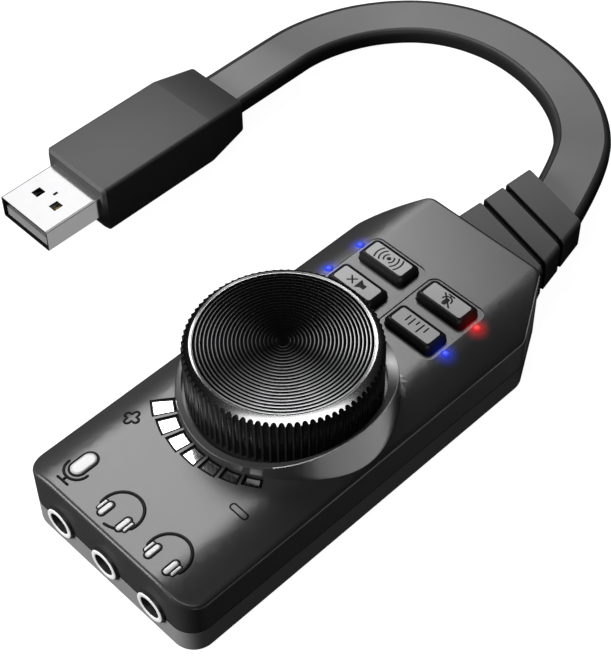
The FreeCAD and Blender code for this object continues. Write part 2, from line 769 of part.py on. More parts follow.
# Buttons: bevelled caps held under the roof by a flange, each on the plunger of a tact switch.
for name, (x, y) in buttons.items():
    cap_top_z = crown_top(y) + cap_height
    skirt = rounded_block(
        x, y, cap_length, cap_width, cap_corner_radius, (flange_bottom_z, cap_top_z - cap_bevel_height))
    bevel_sections = []
    bevel_rows = [
        (cap_top_z - cap_bevel_height, 0, cap_corner_radius),
        (cap_top_z, cap_bevel, cap_top_corner_radius),
    ]
    for z, inset, radius in bevel_rows:
        bevel_sections.append(rectangle_wire(
            V(x, y, z), AXIS_X, AXIS_Y, cap_length - 2 * inset, cap_width - 2 * inset, radius))
    bevel = Part.makeLoft(bevel_sections, True, True)
    flange = rounded_block(
        x, y, cap_length + 2 * cap_flange_overhang, cap_width + 2 * cap_flange_overhang,
        cap_corner_radius, (flange_bottom_z, flange_top_z))
    stem = rod(cap_stem_diameter, V(x, y, plunger_top_z), AXIS_Z, cap_stem_length)
    write(name + "_button", skirt.fuse(bevel).fuse(flange).fuse(stem))

    half_switch = switch_width / 2
    socket_diameter = plunger_diameter + 2 * plunger_clearance
    socket = rod(socket_diameter, V(x, y, board_top_z + switch_floor), AXIS_Z, switch_height)
    switch = box(
        (x - half_switch, x + half_switch), (y - half_switch, y + half_switch), (board_top_z, switch_top_z))
    write(name + "_switch", switch.cut(socket))
    plunger = rod(plunger_diameter, V(x, y, plunger_top_z - plunger_length), AXIS_Z, plunger_length)
    write(name + "_plunger", plunger)


# Status lights: a chip on the board and a clear pipe up to the cover, flanged under the roof.
chips = []
for button in buttons:
    x, y = light_place(button)
    chip_top_z = board_top_z + led_height
    chips.append(box((x - led_length / 2, x + led_length / 2), (y - led_width / 2, y + led_width / 2),
                     (board_top_z, chip_top_z)))
    surface_z = crown_z(x, y)
    stem = rod(light_pipe_diameter, V(x, y, chip_top_z + led_gap), AXIS_Z,
               surface_z + light_pipe_proud - chip_top_z - led_gap)
    reach = light_pipe_flange_diameter / 2
    ceiling_z = crown_z(abs(x) + reach, y - reach, wall, roof)
    flange_z = ceiling_z - light_pipe_flange_gap - light_pipe_flange_thickness
    flange = rod(light_pipe_flange_diameter, V(x, y, flange_z), AXIS_Z, light_pipe_flange_thickness)
    write(button + "_light_pipe", stem.fuse(flange))
write("led_chips", Part.makeCompound(chips))


# Level scale: one plated moulding under the roof, with a wedge row of bars in the cover's windows.
plate_outer = scale_inner + scale_longest_bar + scale_plate_margin
plate_angle = scale_bar_pitch_angle * (scale_bar_count - 1) + scale_bar_angle
plate_angle += 2 * math.degrees(scale_plate_margin / scale_inner)
plate_middle = scale_first_angle + scale_bar_pitch_angle * (scale_bar_count - 1) / 2
plate_reach_x = plate_outer * abs(math.cos(math.radians(plate_middle - plate_angle / 2)))
plate_top_z = crown_z(plate_reach_x, knob_y - plate_outer, wall, roof) - scale_plate_gap
plate_z = (plate_top_z - scale_plate_thickness, plate_top_z)
scale = scale_sector(scale_inner - scale_plate_margin, plate_outer, plate_middle, plate_angle, plate_z)
for angle, bar_length in scale_bars:
    middle_radius = scale_inner + bar_length / 2
    bar_x = middle_radius * math.cos(math.radians(angle))
    bar_y = knob_y + middle_radius * math.sin(math.radians(angle))
    bar_z = (plate_z[0], crown_z(bar_x, bar_y) - scale_bar_recess)
    scale = scale.fuse(scale_sector(scale_inner, scale_inner + bar_length, angle, scale_bar_angle, bar_z))
write("level_scale", scale)


# Chips and small parts: converter and amplifier on top of the board, crystal and filter parts below.
codec = box((-codec_size / 2, codec_size / 2), (button_rear_y, button_rear_y + codec_size),
            (board_top_z, board_top_z + codec_height))
write("codec_chip", codec)
amplifier_y = knob_y - encoder_width / 2 - amplifier_gap - amplifier_width
amplifier = box((-amplifier_length / 2, amplifier_length / 2), (amplifier_y, amplifier_y + amplifier_width),
                (board_top_z, board_top_z + amplifier_height))
write("amplifier_chip", amplifier)
crystal_z = (board_bottom_z - crystal_height, board_bottom_z)
crystal = rounded_block(0, button_y, crystal_length, crystal_width, crystal_end_radius, crystal_z)
write("crystal", crystal)
capacitors = []
resistors = []
for column in (-1, 1):
    cap_axis = V(column * capacitor_pitch / 2, knob_y, board_bottom_z - capacitor_height)
    capacitors.append(rod(capacitor_diameter, cap_axis, AXIS_Z, capacitor_height))
resistor_y = button_rows[0] - resistor_row_setback
for place in range(resistor_count):
    resistor_x = (place - (resistor_count - 1) / 2) * resistor_pitch
    resistors.append(box(
        (resistor_x - resistor_width / 2, resistor_x + resistor_width / 2),
        (resistor_y, resistor_y + resistor_length),
        (board_bottom_z - resistor_height, board_bottom_z)))
write("capacitors", Part.makeCompound(capacitors))
write("resistors", Part.makeCompound(resistors))


# Strain relief: soft moulded boot in three tiers that leans with the cord, with a neck through the rear
# wall and a flange behind it that the two covers hold.
def relief_section(share, inset, skew):
    """Rounded section of the boot at a share of its length, tapering and turned about the upright."""
    width = relief_root_width + (relief_end_width - relief_root_width) * share - 2 * inset
    height = relief_root_height + (relief_end_height - relief_root_height) * share - 2 * inset
    shift = relief_root_shift + (relief_end_shift - relief_root_shift) * share
    turn = math.radians(skew)
    centre = V(shift, y_rear + relief_length * share, cord_axis_z)
    return rectangle_wire(
        centre, V(math.cos(turn), math.sin(turn), 0), AXIS_Z, width, height, relief_corner_radius)


def relief_form(inset):
    """The boot without its grooves, moved in by a distance."""
    return Part.makeLoft([relief_section(0, inset, 0), relief_section(1, inset, relief_skew)], True, True)


boot = relief_form(0)
boot_core = relief_form(relief_groove_depth)
for tier_end in relief_tier_ends:
    start = tier_end - relief_groove_width / 2
    slice_faces = [
        relief_section(place / relief_length, -relief_groove_depth, relief_skew)
        for place in (start, start + relief_groove_width)
    ]
    boot = boot.cut(Part.makeLoft(slice_faces, True, True).cut(boot_core))
neck = Part.Face(rectangle_wire(
    V(0, y_rear - wall, cord_axis_z), AXIS_X, AXIS_Z, relief_neck_width, relief_neck_height,
    relief_corner_radius)).extrude(V(0, wall, 0))
flange = Part.Face(rectangle_wire(
    V(0, relief_flange_y, cord_axis_z), AXIS_X, AXIS_Z, relief_flange_width, relief_flange_height,
    relief_corner_radius)).extrude(V(0, relief_flange_thickness, 0))
relief = boot.fuse(neck).fuse(flange)
write("strain_relief", relief)


# Lead wires: four insulated leads from the boot's flange into a connector under the board.
connector = box(
    (-connector_length / 2, connector_length / 2), (connector_rear_y - connector_width, connector_rear_y),
    (board_bottom_z - connector_height, board_bottom_z))
write("cord_connector", connector)
lead_colours = ("red", "white", "green", "black")
for lead, colour in enumerate(lead_colours):
    lead_x = (lead - (len(lead_colours) - 1) / 2) * lead_pitch
    lead_start = V(lead_x, connector_rear_y, cord_axis_z)
    write(colour + "_lead", rod(lead_diameter, lead_start, AXIS_Y, relief_flange_y - connector_rear_y))


# Flat cord: straight runs joined by tangent arcs, each arc as large as its two runs allow, with the
# broad face kept level. Its first end is trimmed flush with the boot.
def cord_path(points):
    """Wire of runs and arcs through the route, and the arcs' radii."""
    edges = []
    radii = []
    start = points[0]
    for before, corner, after in zip(points, points[1:], points[2:]):
        reach = cord_corner_reach * min((before - corner).Length, (after - corner).Length)
        to_before = V(before - corner).normalize()
        to_after = V(after - corner).normalize()
        half_turn = (math.pi - to_before.getAngle(to_after)) / 2
        radius = reach / math.tan(half_turn)
        inward = V(to_before + to_after).normalize()
        middle = corner + inward * (radius / math.cos(half_turn) - radius)
        end = corner + to_before * reach
        edges.append(Part.LineSegment(start, end).toShape())
        start = corner + to_after * reach
        edges.append(Part.Arc(end, middle, start).toShape())
        radii.append(radius)
    edges.append(Part.LineSegment(start, points[-1]).toShape())
    return Part.Wire(edges), radii


route = [V(*point) for point in cord_route]
path, cord_radii = cord_path(route)
along = V(route[1] - route[0]).normalize()
across = V(along.cross(AXIS_Z)).normalize()
cord_section = rectangle_wire(route[0], across, AXIS_Z, cord_width, cord_thickness, cord_edge_radius)
pipe = Part.BRepOffsetAPI.MakePipeShell(path)
pipe.setBiNormalMode(AXIS_Z)
pipe.add(cord_section)
pipe.build()
pipe.makeSolid()
cord = pipe.shape()
print("cord radii", [round(radius, 1) for radius in cord_radii])
print("cord length", round(path.Length, 2), "volume", round(cord.Volume, 1),
      "section times length", round(Part.Face(cord_section).Area * path.Length, 1))
cord = cord.cut(relief_form(0))
write("flat_cord", cord)


# Plug: moulded grip round a folded metal shell, with the plastic tongue and four contact strips.
def plug_section(y, width, height, radius):
    """Rounded section of the plug, level with the cord's end."""
    return rectangle_wire(V(plug_x, y, plug_z), AXIS_X, AXIS_Z, width, height, radius)


taper_y = overmold_rear_y - overmold_taper_length
front_inset = 2 * overmold_front_chamfer
nose_sections = [
    plug_section(
        overmold_front_y, overmold_width - front_inset, overmold_height - front_inset,
        overmold_corner_radius),
    plug_section(
        overmold_front_y + overmold_front_chamfer, overmold_width, overmold_height, overmold_corner_radius),
]
grip_sections = [
    nose_sections[1],
    plug_section(taper_y, overmold_width, overmold_height, overmold_corner_radius),
]
tail_sections = [
    grip_sections[1],
    plug_section(overmold_rear_y, overmold_end_width, overmold_end_height, overmold_corner_radius),
]
overmold = Part.makeLoft(grip_sections, True, True)
for sections in (nose_sections, tail_sections):
    overmold = overmold.fuse(Part.makeLoft(sections, True, True))
shell_tip_y = overmold_front_y - shell_length
shell_rear_y = overmold_front_y + shell_embed
shell_form = Part.makeLoft([
    plug_section(shell_tip_y, shell_width, shell_height, shell_corner_radius),
    plug_section(shell_rear_y, shell_width, shell_height, shell_corner_radius),
], True, True)
write("plug_overmold", overmold.cut(shell_form))

inner_width = shell_width - 2 * shell_wall
inner_height = shell_height - 2 * shell_wall
shell_room = box(
    (plug_x - inner_width / 2, plug_x + inner_width / 2), (shell_tip_y, shell_rear_y),
    (plug_z - inner_height / 2, plug_z + inner_height / 2))
shell = shell_form.cut(shell_room)
for side in (-1, 1):
    hole_x = plug_x + side * shell_hole_pitch / 2
    hole_y = shell_tip_y + shell_hole_setback
    shell = shell.cut(box(
        (hole_x - shell_hole_width / 2, hole_x + shell_hole_width / 2),
        (hole_y - shell_hole_length / 2, hole_y + shell_hole_length / 2),
        (plug_z - shell_height, plug_z + shell_height)))
slot_y = shell_tip_y + shell_slot_setback
shell = shell.cut(box(
    (plug_x - shell_slot_width / 2, plug_x + shell_slot_width / 2),
    (slot_y - shell_slot_length / 2, slot_y + shell_slot_length / 2), (plug_z, plug_z + shell_height)))
write("usb_shell", shell)

mouth = box(
    (plug_x - inner_width / 2, plug_x + inner_width / 2), (shell_tip_y, shell_tip_y + tongue_mouth_depth),
    (plug_z - inner_height / 2 + tongue_thickness, plug_z + inner_height / 2))
tongue = shell_room.cut(mouth).cut(box(
    (plug_x - shell_width, plug_x + shell_width), (shell_tip_y, shell_tip_y + tongue_setback),
    (0, overmold_height)))
write("usb_tongue", tongue)

strips = []
strip_bottom_z = plug_z - inner_height / 2 + tongue_thickness
for strip in range(strip_count):
    strip_x = plug_x + (strip - (strip_count - 1) / 2) * strip_pitch
    strip_end_y = shell_tip_y + tongue_mouth_depth
    strips.append(box(
        (strip_x - strip_width / 2, strip_x + strip_width / 2), (strip_end_y - strip_length, strip_end_y),
        (strip_bottom_z, strip_bottom_z + strip_thickness)))
write("usb_contacts", Part.makeCompound(strips))
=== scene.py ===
import json
import math

import bmesh
import bpy
from mathutils import Matrix, Vector
from mathutils.bvhtree import BVHTree

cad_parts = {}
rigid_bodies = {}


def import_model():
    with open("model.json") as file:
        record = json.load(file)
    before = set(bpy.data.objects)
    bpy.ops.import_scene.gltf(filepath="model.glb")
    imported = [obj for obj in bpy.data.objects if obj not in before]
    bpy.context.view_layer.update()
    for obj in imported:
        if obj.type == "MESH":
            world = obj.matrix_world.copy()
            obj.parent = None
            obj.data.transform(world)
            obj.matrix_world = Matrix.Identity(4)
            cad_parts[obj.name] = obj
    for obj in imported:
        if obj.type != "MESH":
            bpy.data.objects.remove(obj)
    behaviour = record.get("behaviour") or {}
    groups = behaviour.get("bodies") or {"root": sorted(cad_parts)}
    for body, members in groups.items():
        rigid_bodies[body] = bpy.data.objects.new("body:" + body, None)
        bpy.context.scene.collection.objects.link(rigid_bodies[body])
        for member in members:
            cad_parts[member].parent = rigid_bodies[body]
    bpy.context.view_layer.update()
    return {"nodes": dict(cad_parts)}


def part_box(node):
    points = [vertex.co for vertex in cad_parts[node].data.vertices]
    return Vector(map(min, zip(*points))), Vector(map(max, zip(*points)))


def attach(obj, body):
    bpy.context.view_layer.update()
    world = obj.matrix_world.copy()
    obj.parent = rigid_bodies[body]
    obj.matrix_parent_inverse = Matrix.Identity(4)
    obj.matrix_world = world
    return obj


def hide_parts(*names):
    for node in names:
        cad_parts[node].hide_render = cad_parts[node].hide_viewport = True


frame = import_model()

nodes_by_name = frame["nodes"]


# Studio: a pale floor that runs out of view and soft boxes over it, which the flat tops mirror. Cards
# that show only in the gloss of a piece or two stand in for the reflections of the photograph, and
# the camera stands where that was taken from.
camera_place = (0.114508, -0.109582, 0.207765)
camera_azimuth = 46.193
camera_elevation = 49.320
camera_roll = -0.969
camera_lens = 93.76
studio_middle = Vector((-0.012, 0.018, 0.008))

camera = bpy.data.objects.new("camera", bpy.data.cameras.new("camera"))
camera.data.lens = camera_lens
camera.data.sensor_width = 36.0
camera.data.clip_start = 0.01
turn = Matrix.Rotation(math.radians(camera_azimuth), 4, "Z")
tilt = Matrix.Rotation(math.radians(90 - camera_elevation), 4, "X")
lean = Matrix.Rotation(math.radians(camera_roll), 4, "Z")
camera.matrix_world = Matrix.Translation(camera_place) @ turn @ tilt @ lean
scene_objects = bpy.context.scene.collection.objects
scene_objects.link(camera)
bpy.context.scene.camera = camera


def soft_box(name, direction, distance, width, height, radiance):
    """Area light that faces the middle of the object, its width level with the floor."""
    light = bpy.data.lights.new(name, "AREA")
    light.shape = "RECTANGLE"
    light.size = width
    light.size_y = height
    light.energy = radiance * math.pi * width * height
    lamp = bpy.data.objects.new(name, light)
    away = Vector(direction).normalized()
    lamp.location = studio_middle + away * distance
    lamp.rotation_euler = away.to_track_quat("Z", "Y").to_euler()
    scene_objects.link(lamp)
    return lamp


far_soft_box = soft_box("far_soft_box", (-0.53, 0.26, 0.81), 0.62, 0.38, 0.38, 7.4)
far_unlit = bpy.data.collections.new("far_unlit")
far_soft_box.light_linking.receiver_collection = far_unlit
soft_box("camera_soft_box", (0.42, -0.36, 0.83), 0.60, 0.70, 0.14, 3.6)
front_soft_box = soft_box("front_soft_box", (-0.50, -0.84, 0.30), 0.55, 0.30, 0.30, 23.0)
front_soft_box.visible_glossy = False

cover_lit = bpy.data.collections.new("cover_lit")
knob_lit = bpy.data.collections.new("knob_lit")
chamfer_lit = bpy.data.collections.new("chamfer_lit")
edge_lit = bpy.data.collections.new("edge_lit")
shell_lit = bpy.data.collections.new("shell_lit")
for card_name, direction, distance, width, height, radiance, lit in (
        ("low_card", (0.80, 0.37, -0.47), 0.50, 1.10, 0.22, 2.9, cover_lit),
        ("right_rim_card", (-0.12, 0.78, 0.61), 0.62, 0.26, 0.26, 3.6, knob_lit),
        ("left_rim_card", (-0.80, 0.10, 0.59), 0.62, 0.26, 0.26, 1.3, knob_lit),
        ("right_top_card", (0.30, 0.28, 0.91), 0.62, 0.26, 0.26, 1.2, knob_lit),
        ("left_top_card", (-0.26, -0.31, 0.91), 0.62, 0.26, 0.26, 0.9, knob_lit),
        ("chamfer_strip", (0.56, -0.37, 0.742), 0.50, 0.86, 0.20, 12.0, chamfer_lit),
        ("edge_card", (-0.52, -0.80, 0.30), 0.55, 0.36, 0.26, 7.0, edge_lit),
        ("shell_card", (0.55, 0.40, -0.73), 0.40, 0.40, 0.40, 0.32, shell_lit),
        ("shell_top_card", (-0.52, 0.42, 0.74), 0.50, 0.30, 0.30, 1.12, shell_lit),
        ("shell_right_card", (0.55, 0.42, 0.72), 0.50, 0.48, 0.48, 0.5, shell_lit),
        ("shell_near_card", (0.50, -0.50, 0.70), 0.50, 0.48, 0.48, 0.5, shell_lit),
        ("shell_left_card", (-0.45, -0.55, 0.70), 0.50, 0.48, 0.48, 0.5, shell_lit),
        ("shell_under_left", (-0.60, -0.10, -0.79), 0.50, 0.48, 0.48, 0.3, shell_lit),
        ("shell_under_front", (0.0, -0.62, -0.78), 0.50, 0.48, 0.48, 0.2, shell_lit)):
    card = soft_box(card_name, direction, distance, width, height, radiance)
    card.visible_diffuse = False
    card.light_linking.receiver_collection = lit

bpy.context.scene.view_settings.view_transform = "Standard"
world = bpy.data.worlds.new("studio")
world.use_nodes = True
world.node_tree.nodes["Background"].inputs["Color"].default_value = (0.006, 0.006, 0.006, 1)
bpy.context.scene.world = world

floor_reach = 3.0
floor_drop = 0.0002
floor_mesh = bpy.data.meshes.new("floor")
floor_corners = [(-1, -1), (1, -1), (1, 1), (-1, 1)]
floor_points = [(x * floor_reach, y * floor_reach, -floor_drop) for x, y in floor_corners]
floor_mesh.from_pydata(floor_points, [], [(0, 1, 2, 3)])
floor = bpy.data.objects.new("floor", floor_mesh)
scene_objects.link(floor)
floor_paper = bpy.data.materials.new("floor_paper")
floor_paper.use_nodes = True
paper_shader = floor_paper.node_tree.nodes["Principled BSDF"]
for label, value in (("Base Color", (0.2, 0.2, 0.2, 1)), ("Roughness", 0.9), ("Specular IOR Level", 0.0),
                     ("Emission Color", (1, 1, 1, 1)), ("Emission Strength", 0.95)):
    paper_shader.inputs[label].default_value = value
floor_mesh.materials.append(floor_paper)
floor.visible_glossy = False
floor.visible_diffuse = False
floor.visible_shadow = False


# Bottom cover: a shallow tray moulded in plastic and coloured a grey lighter than the top cover, with a fine
# even texture, its lip up inside the top cover and four sunk screw seats in its floor. The seam above it
# stays dark.
def node_group(name, kind, inputs, outputs):
    """Node group with its sockets; gives the tree, its input node and its output node."""
    tree = bpy.data.node_groups.new(name, kind)
    for side, sockets in (("INPUT", inputs), ("OUTPUT", outputs)):
        for label, socket in sockets.items():
            tree.interface.new_socket(label, in_out=side, socket_type="NodeSocket" + socket)
    return tree, tree.nodes.new("NodeGroupInput"), tree.nodes.new("NodeGroupOutput")


def add_node(tree, kind, values=None, **settings):
    """Node with its settings, and with values on its sockets by name or number."""
    node = tree.nodes.new(kind)
    for label, setting in settings.items():
        setattr(node, label, setting)
    for socket, value in (values or {}).items():
        node.inputs[socket].default_value = value
    return node


def connect(tree, *links):
    """Link an output of one node to an input of another, by name or number."""
    for source, output, target, socket in links:
        tree.links.new(source.outputs[output], target.inputs[socket])


def colour(tone):
    """Shader colour from a grey level or from red, green and blue."""
    return (*tone, 1) if isinstance(tone, tuple) else (tone, tone, tone, 1)


grain, grain_in, grain_out = node_group(
    "surface_grain", "ShaderNodeTree",
    {"Base": "Color", "Second": "Color", "Patch Scale": "Float", "Grain Scale": "Float",
     "Gloss Low": "Float", "Gloss High": "Float"},
    {"Color": "Color", "Roughness": "Float", "Height": "Float"})
grain_place = add_node(grain, "ShaderNodeTexCoord")
grain_patch = add_node(grain, "ShaderNodeTexNoise", {"Detail": 4.0})
grain_fine = add_node(grain, "ShaderNodeTexNoise", {"Detail": 2.0})
grain_tone = add_node(grain, "ShaderNodeMix", data_type="RGBA")
grain_gloss = add_node(grain, "ShaderNodeMapRange")
connect(
    grain,
    (grain_place, "Object", grain_patch, "Vector"),
    (grain_place, "Object", grain_fine, "Vector"),
    (grain_in, "Patch Scale", grain_patch, "Scale"),
    (grain_in, "Grain Scale", grain_fine, "Scale"),
    (grain_patch, "Fac", grain_tone, "Factor"),
    (grain_in, "Base", grain_tone, "A"),
    (grain_in, "Second", grain_tone, "B"),
    (grain_fine, "Fac", grain_gloss, "Value"),
    (grain_in, "Gloss Low", grain_gloss, "To Min"),
    (grain_in, "Gloss High", grain_gloss, "To Max"),
    (grain_tone, "Result", grain_out, "Color"),
    (grain_gloss, "Result", grain_out, "Roughness"),
    (grain_fine, "Fac", grain_out, "Height"))


def make_finish(name, base, second, gloss, patch=150.0, fine=3000.0, relief=0.00001, **sockets):
    """Material whose tone, gloss and fine relief vary over the piece; the rest is set on the shader."""
    material = bpy.data.materials.new(name)
    material.use_nodes = True
    tree = material.node_tree
    shader = tree.nodes["Principled BSDF"]
    surface = add_node(
        tree, "ShaderNodeGroup",
        {"Base": colour(base), "Second": colour(second), "Patch Scale": patch, "Grain Scale": fine,
         "Gloss Low": gloss[0], "Gloss High": gloss[1]},
        name="surface", node_tree=grain)
    bump = add_node(tree, "ShaderNodeBump", {"Strength": 1.0, "Distance": relief})
    connect(
        tree,
        (surface, "Color", shader, "Base Color"),
        (surface, "Roughness", shader, "Roughness"),
        (surface, "Height", bump, "Height"),
        (bump, "Normal", shader, "Normal"))
    for label, value in sockets.items():
        shader.inputs[label.replace("_", " ")].default_value = value
    return material


def shade(form, crease):
    """Smooth the faces, with a crease along each edge that folds by more than so many degrees."""
    for face in form.faces:
        face.smooth = True
    for edge in form.edges:
        if len(edge.link_faces) == 2:
            edge.smooth = edge.calc_face_angle() < math.radians(crease)


def plain_mesh(name, form):
    """Mesh of a form, which is freed."""
    mesh = bpy.data.meshes.new(name)
    form.to_mesh(mesh)
    form.free()
    return mesh


def hang(name, mesh, materials, body):
    """Object of a mesh with its materials, riding on its body."""
    piece = bpy.data.objects.new(name, mesh)
    scene_objects.link(piece)
    for material in materials:
        mesh.materials.append(material)
    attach(piece, body)
    return piece


def welded_copy(node, name, materials, crease=28):
    """A case node's triangles as one welded skin, smooth but for its creases, in place of the node."""
    form = bmesh.new()
    form.from_mesh(nodes_by_name[node].data)
    bmesh.ops.remove_doubles(form, verts=form.verts, dist=2e-6)
    for face in form.faces:
        face.material_index = 0
    shade(form, crease)
    piece = hang(name, plain_mesh(name, form), materials, "case")
    even = piece.modifiers.new("even_normals", "WEIGHTED_NORMAL")
    even.keep_sharp = True
    even.weight = 100
    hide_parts(node)
    return piece


tray_plastic = make_finish(
    "tray_plastic", (0.145, 0.145, 0.146), (0.160, 0.160, 0.161), (0.34, 0.46), relief=0.000012)
seam_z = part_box("top_cover")[0].z
seam_start = 0.00022
seam_end = 0.00016
tray_tree = tray_plastic.node_tree
tray_place = add_node(tray_tree, "ShaderNodeTexCoord")
tray_axes = add_node(tray_tree, "ShaderNodeSeparateXYZ")
tray_seam = add_node(
    tray_tree, "ShaderNodeMapRange", {"From Min": seam_z - seam_start, "From Max": seam_z - seam_end})
tray_tone = add_node(tray_tree, "ShaderNodeMix", {"B": colour(0.004)}, data_type="RGBA")
connect(
    tray_tree,
    (tray_place, "Object", tray_axes, "Vector"),
    (tray_axes, "Z", tray_seam, "Value"),
    (tray_seam, "Result", tray_tone, "Factor"),
    (tray_tree.nodes["surface"], "Color", tray_tone, "A"),
    (tray_tone, "Result", tray_tree.nodes["Principled BSDF"], "Base Color"))
welded_copy("bottom_cover", "bottom_tray", [tray_plastic])


# Top cover: black plastic moulding with a satin shine, the round collar for the knob in one piece
# with it. The status lights' glow is painted onto it as emission, and the collar carries a painted
# highlight along its rim and a painted highlight spot on its flank.
spill, spill_in, spill_out = node_group(
    "light_spill", "ShaderNodeTree",
    {"Place": "Vector", "Reach": "Float", "Tint": "Color", "Before": "Color"}, {"Color": "Color"})
spill_place = add_node(spill, "ShaderNodeTexCoord")
spill_far = add_node(spill, "ShaderNodeVectorMath", operation="DISTANCE")
spill_near = add_node(spill, "ShaderNodeMapRange", {"To Min": 1.0, "To Max": 0.0})
spill_curve = add_node(spill, "ShaderNodeMath", {1: 2.2}, operation="POWER")
spill_add = add_node(spill, "ShaderNodeMix", data_type="RGBA", blend_type="ADD")
connect(
    spill,
    (spill_place, "Object", spill_far, 0),
    (spill_in, "Place", spill_far, 1),
    (spill_far, "Value", spill_near, "Value"),
    (spill_in, "Reach", spill_near, "From Max"),
    (spill_near, "Result", spill_curve, 0),
    (spill_curve, "Value", spill_add, "Factor"),
    (spill_in, "Before", spill_add, "A"),
    (spill_in, "Tint", spill_add, "B"),
    (spill_add, "Result", spill_out, "Color"))


def add_spill(tree, place, reach, tint, before=0.0):
    """Node that adds a tint round a place to the colour before it."""
    return add_node(
        tree, "ShaderNodeGroup",
        {"Place": place, "Reach": reach, "Tint": colour(tint), "Before": colour(before)}, node_tree=spill)


def middle_of(node):
    """Middle of a CAD node's box, in metres."""
    low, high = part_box(node)
    return (low + high) / 2


blue_light = (0.02, 0.06, 1.0)
red_light = (1.0, 0.015, 0.02)
light_tints = {"surround": blue_light, "speaker_mute": blue_light, "microphone_mute": red_light,
               "equaliser": blue_light}
light_places = {}
for light_name in light_tints:
    pipe_middle = middle_of(light_name + "_light_pipe")
    pipe_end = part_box(light_name + "_light_pipe")[1].z
    light_places[light_name] = Vector((pipe_middle.x, pipe_middle.y, pipe_end))


def paint_light_glow(material, reach, strength):
    """Paint the status lights' glow into a material close to them, as emission."""
    tree = material.node_tree
    shader = tree.nodes["Principled BSDF"]
    glows = [add_spill(tree, place, reach, light_tints[name]) for name, place in light_places.items()]
    for before, glow in zip(glows, glows[1:]):
        connect(tree, (before, "Color", glow, "Before"))
    connect(tree, (glows[-1], "Color", shader, "Emission Color"))
    shader.inputs["Emission Strength"].default_value = strength


cover_look = {"base": (0.020, 0.020, 0.021), "second": (0.026, 0.026, 0.027), "gloss": (0.26, 0.34),
              "relief": 0.000006}
cover_plastic = make_finish("cover_plastic", **cover_look)
# Painted glow: the status lights' colour is painted onto the cover as emission.
paint_light_glow(cover_plastic, 0.0027, 0.72)
crown_edge = 0.0168
wall_edge = 0.0173
cover_nodes = cover_plastic.node_tree
cover_place = add_node(cover_nodes, "ShaderNodeTexCoord")
cover_axes = add_node(cover_nodes, "ShaderNodeSeparateXYZ")
cover_aside = add_node(cover_nodes, "ShaderNodeMath", operation="ABSOLUTE")
cover_wall = add_node(
    cover_nodes, "ShaderNodeMapRange",
    {"From Min": crown_edge, "From Max": wall_edge, "To Min": 0.6, "To Max": 0.12})
cover_shader = cover_nodes.nodes["Principled BSDF"]
connect(
    cover_nodes,
    (cover_place, "Object", cover_axes, "Vector"),
    (cover_axes, "X", cover_aside, 0),
    (cover_aside, "Value", cover_wall, "Value"),
    (cover_wall, "Result", cover_shader, "Specular IOR Level"))

# Painted highlight: the collar's rounded rim on the side towards the camera takes a light grey finish that
# stands in for its reflection.
rim_painted_highlight = make_finish(
    "rim_painted_highlight", 0.42, 0.48, (0.22, 0.30), relief=0.000004, Specular_IOR_Level=0.8)
# The collar carries a painted highlight: a soft near-white spot added to its base colour behind and right of
# the knob.
collar_plastic = make_finish("collar_plastic", **cover_look, Specular_IOR_Level=0.6)
collar_middle = middle_of("knob_grip")
painted_highlight_place = collar_middle + Vector((0.0086, 0.0132, -0.0035))
collar_nodes = collar_plastic.node_tree
collar_painted_highlight = add_spill(collar_nodes, painted_highlight_place, 0.0070, 0.98)
connect(
    collar_nodes,
    (collar_nodes.nodes["surface"], "Color", collar_painted_highlight, "Before"),
    (collar_painted_highlight, "Color", collar_nodes.nodes["Principled BSDF"], "Base Color"))

top_cover = welded_copy(
    "top_cover", "crowned_cover", [cover_plastic, rim_painted_highlight, collar_plastic])
cover_lit.objects.link(top_cover)
edge_lit.objects.link(top_cover)
# Faces of the collar take its own finish; those of its rim towards the camera take the painted highlight.
collar_inner = 0.0148
collar_outer = 0.0174
collar_foot = 0.0130
rim_foot = 0.0137
for polygon in top_cover.data.polygons:
    apart = polygon.center - collar_middle
    if collar_inner < apart.xy.length < collar_outer and polygon.center.z > collar_foot:
        on_rim = 0.34 < polygon.normal.z < 0.90 and polygon.center.z > rim_foot
        to_camera = -50 < math.degrees(math.atan2(apart.y, apart.x)) < 62
        polygon.material_index = 1 if on_rim and to_camera else 2

cover_skin = bmesh.new()
cover_skin.from_mesh(top_cover.data)
cover_rays = BVHTree.FromBMesh(cover_skin)
cover_skin.free()


def crown_z(x, y):
    """Height of the cover's outer surface in millimetres, straight down from above."""
    hit = cover_rays.ray_cast(Vector((x / 1000, y / 1000, 0.1)), Vector((0, 0, -1)))
    return hit[0].z * 1000


# Case screws: four small zinc-plated pan heads with a cross recess. They are turned up through the
# tray into the cover's posts, which clamp the board.
screw_zinc = make_finish(
    "screw_zinc", 0.50, (0.62, 0.62, 0.61), (0.22, 0.38), patch=900.0, relief=0.000006, Metallic=1.0)
welded_copy("case_screws", "tray_screws", [screw_zinc])


# Board and what is soldered to it: green lacquered glass fibre with copper under the lacquer, black
# chips, a steel-can crystal, aluminium capacitors, switches, and the connector with its four leads.
def paint(node, material):
    """Give a CAD node that stays its finish."""
    mesh = nodes_by_name[node].data
    mesh.materials.clear()
    mesh.materials.append(material)


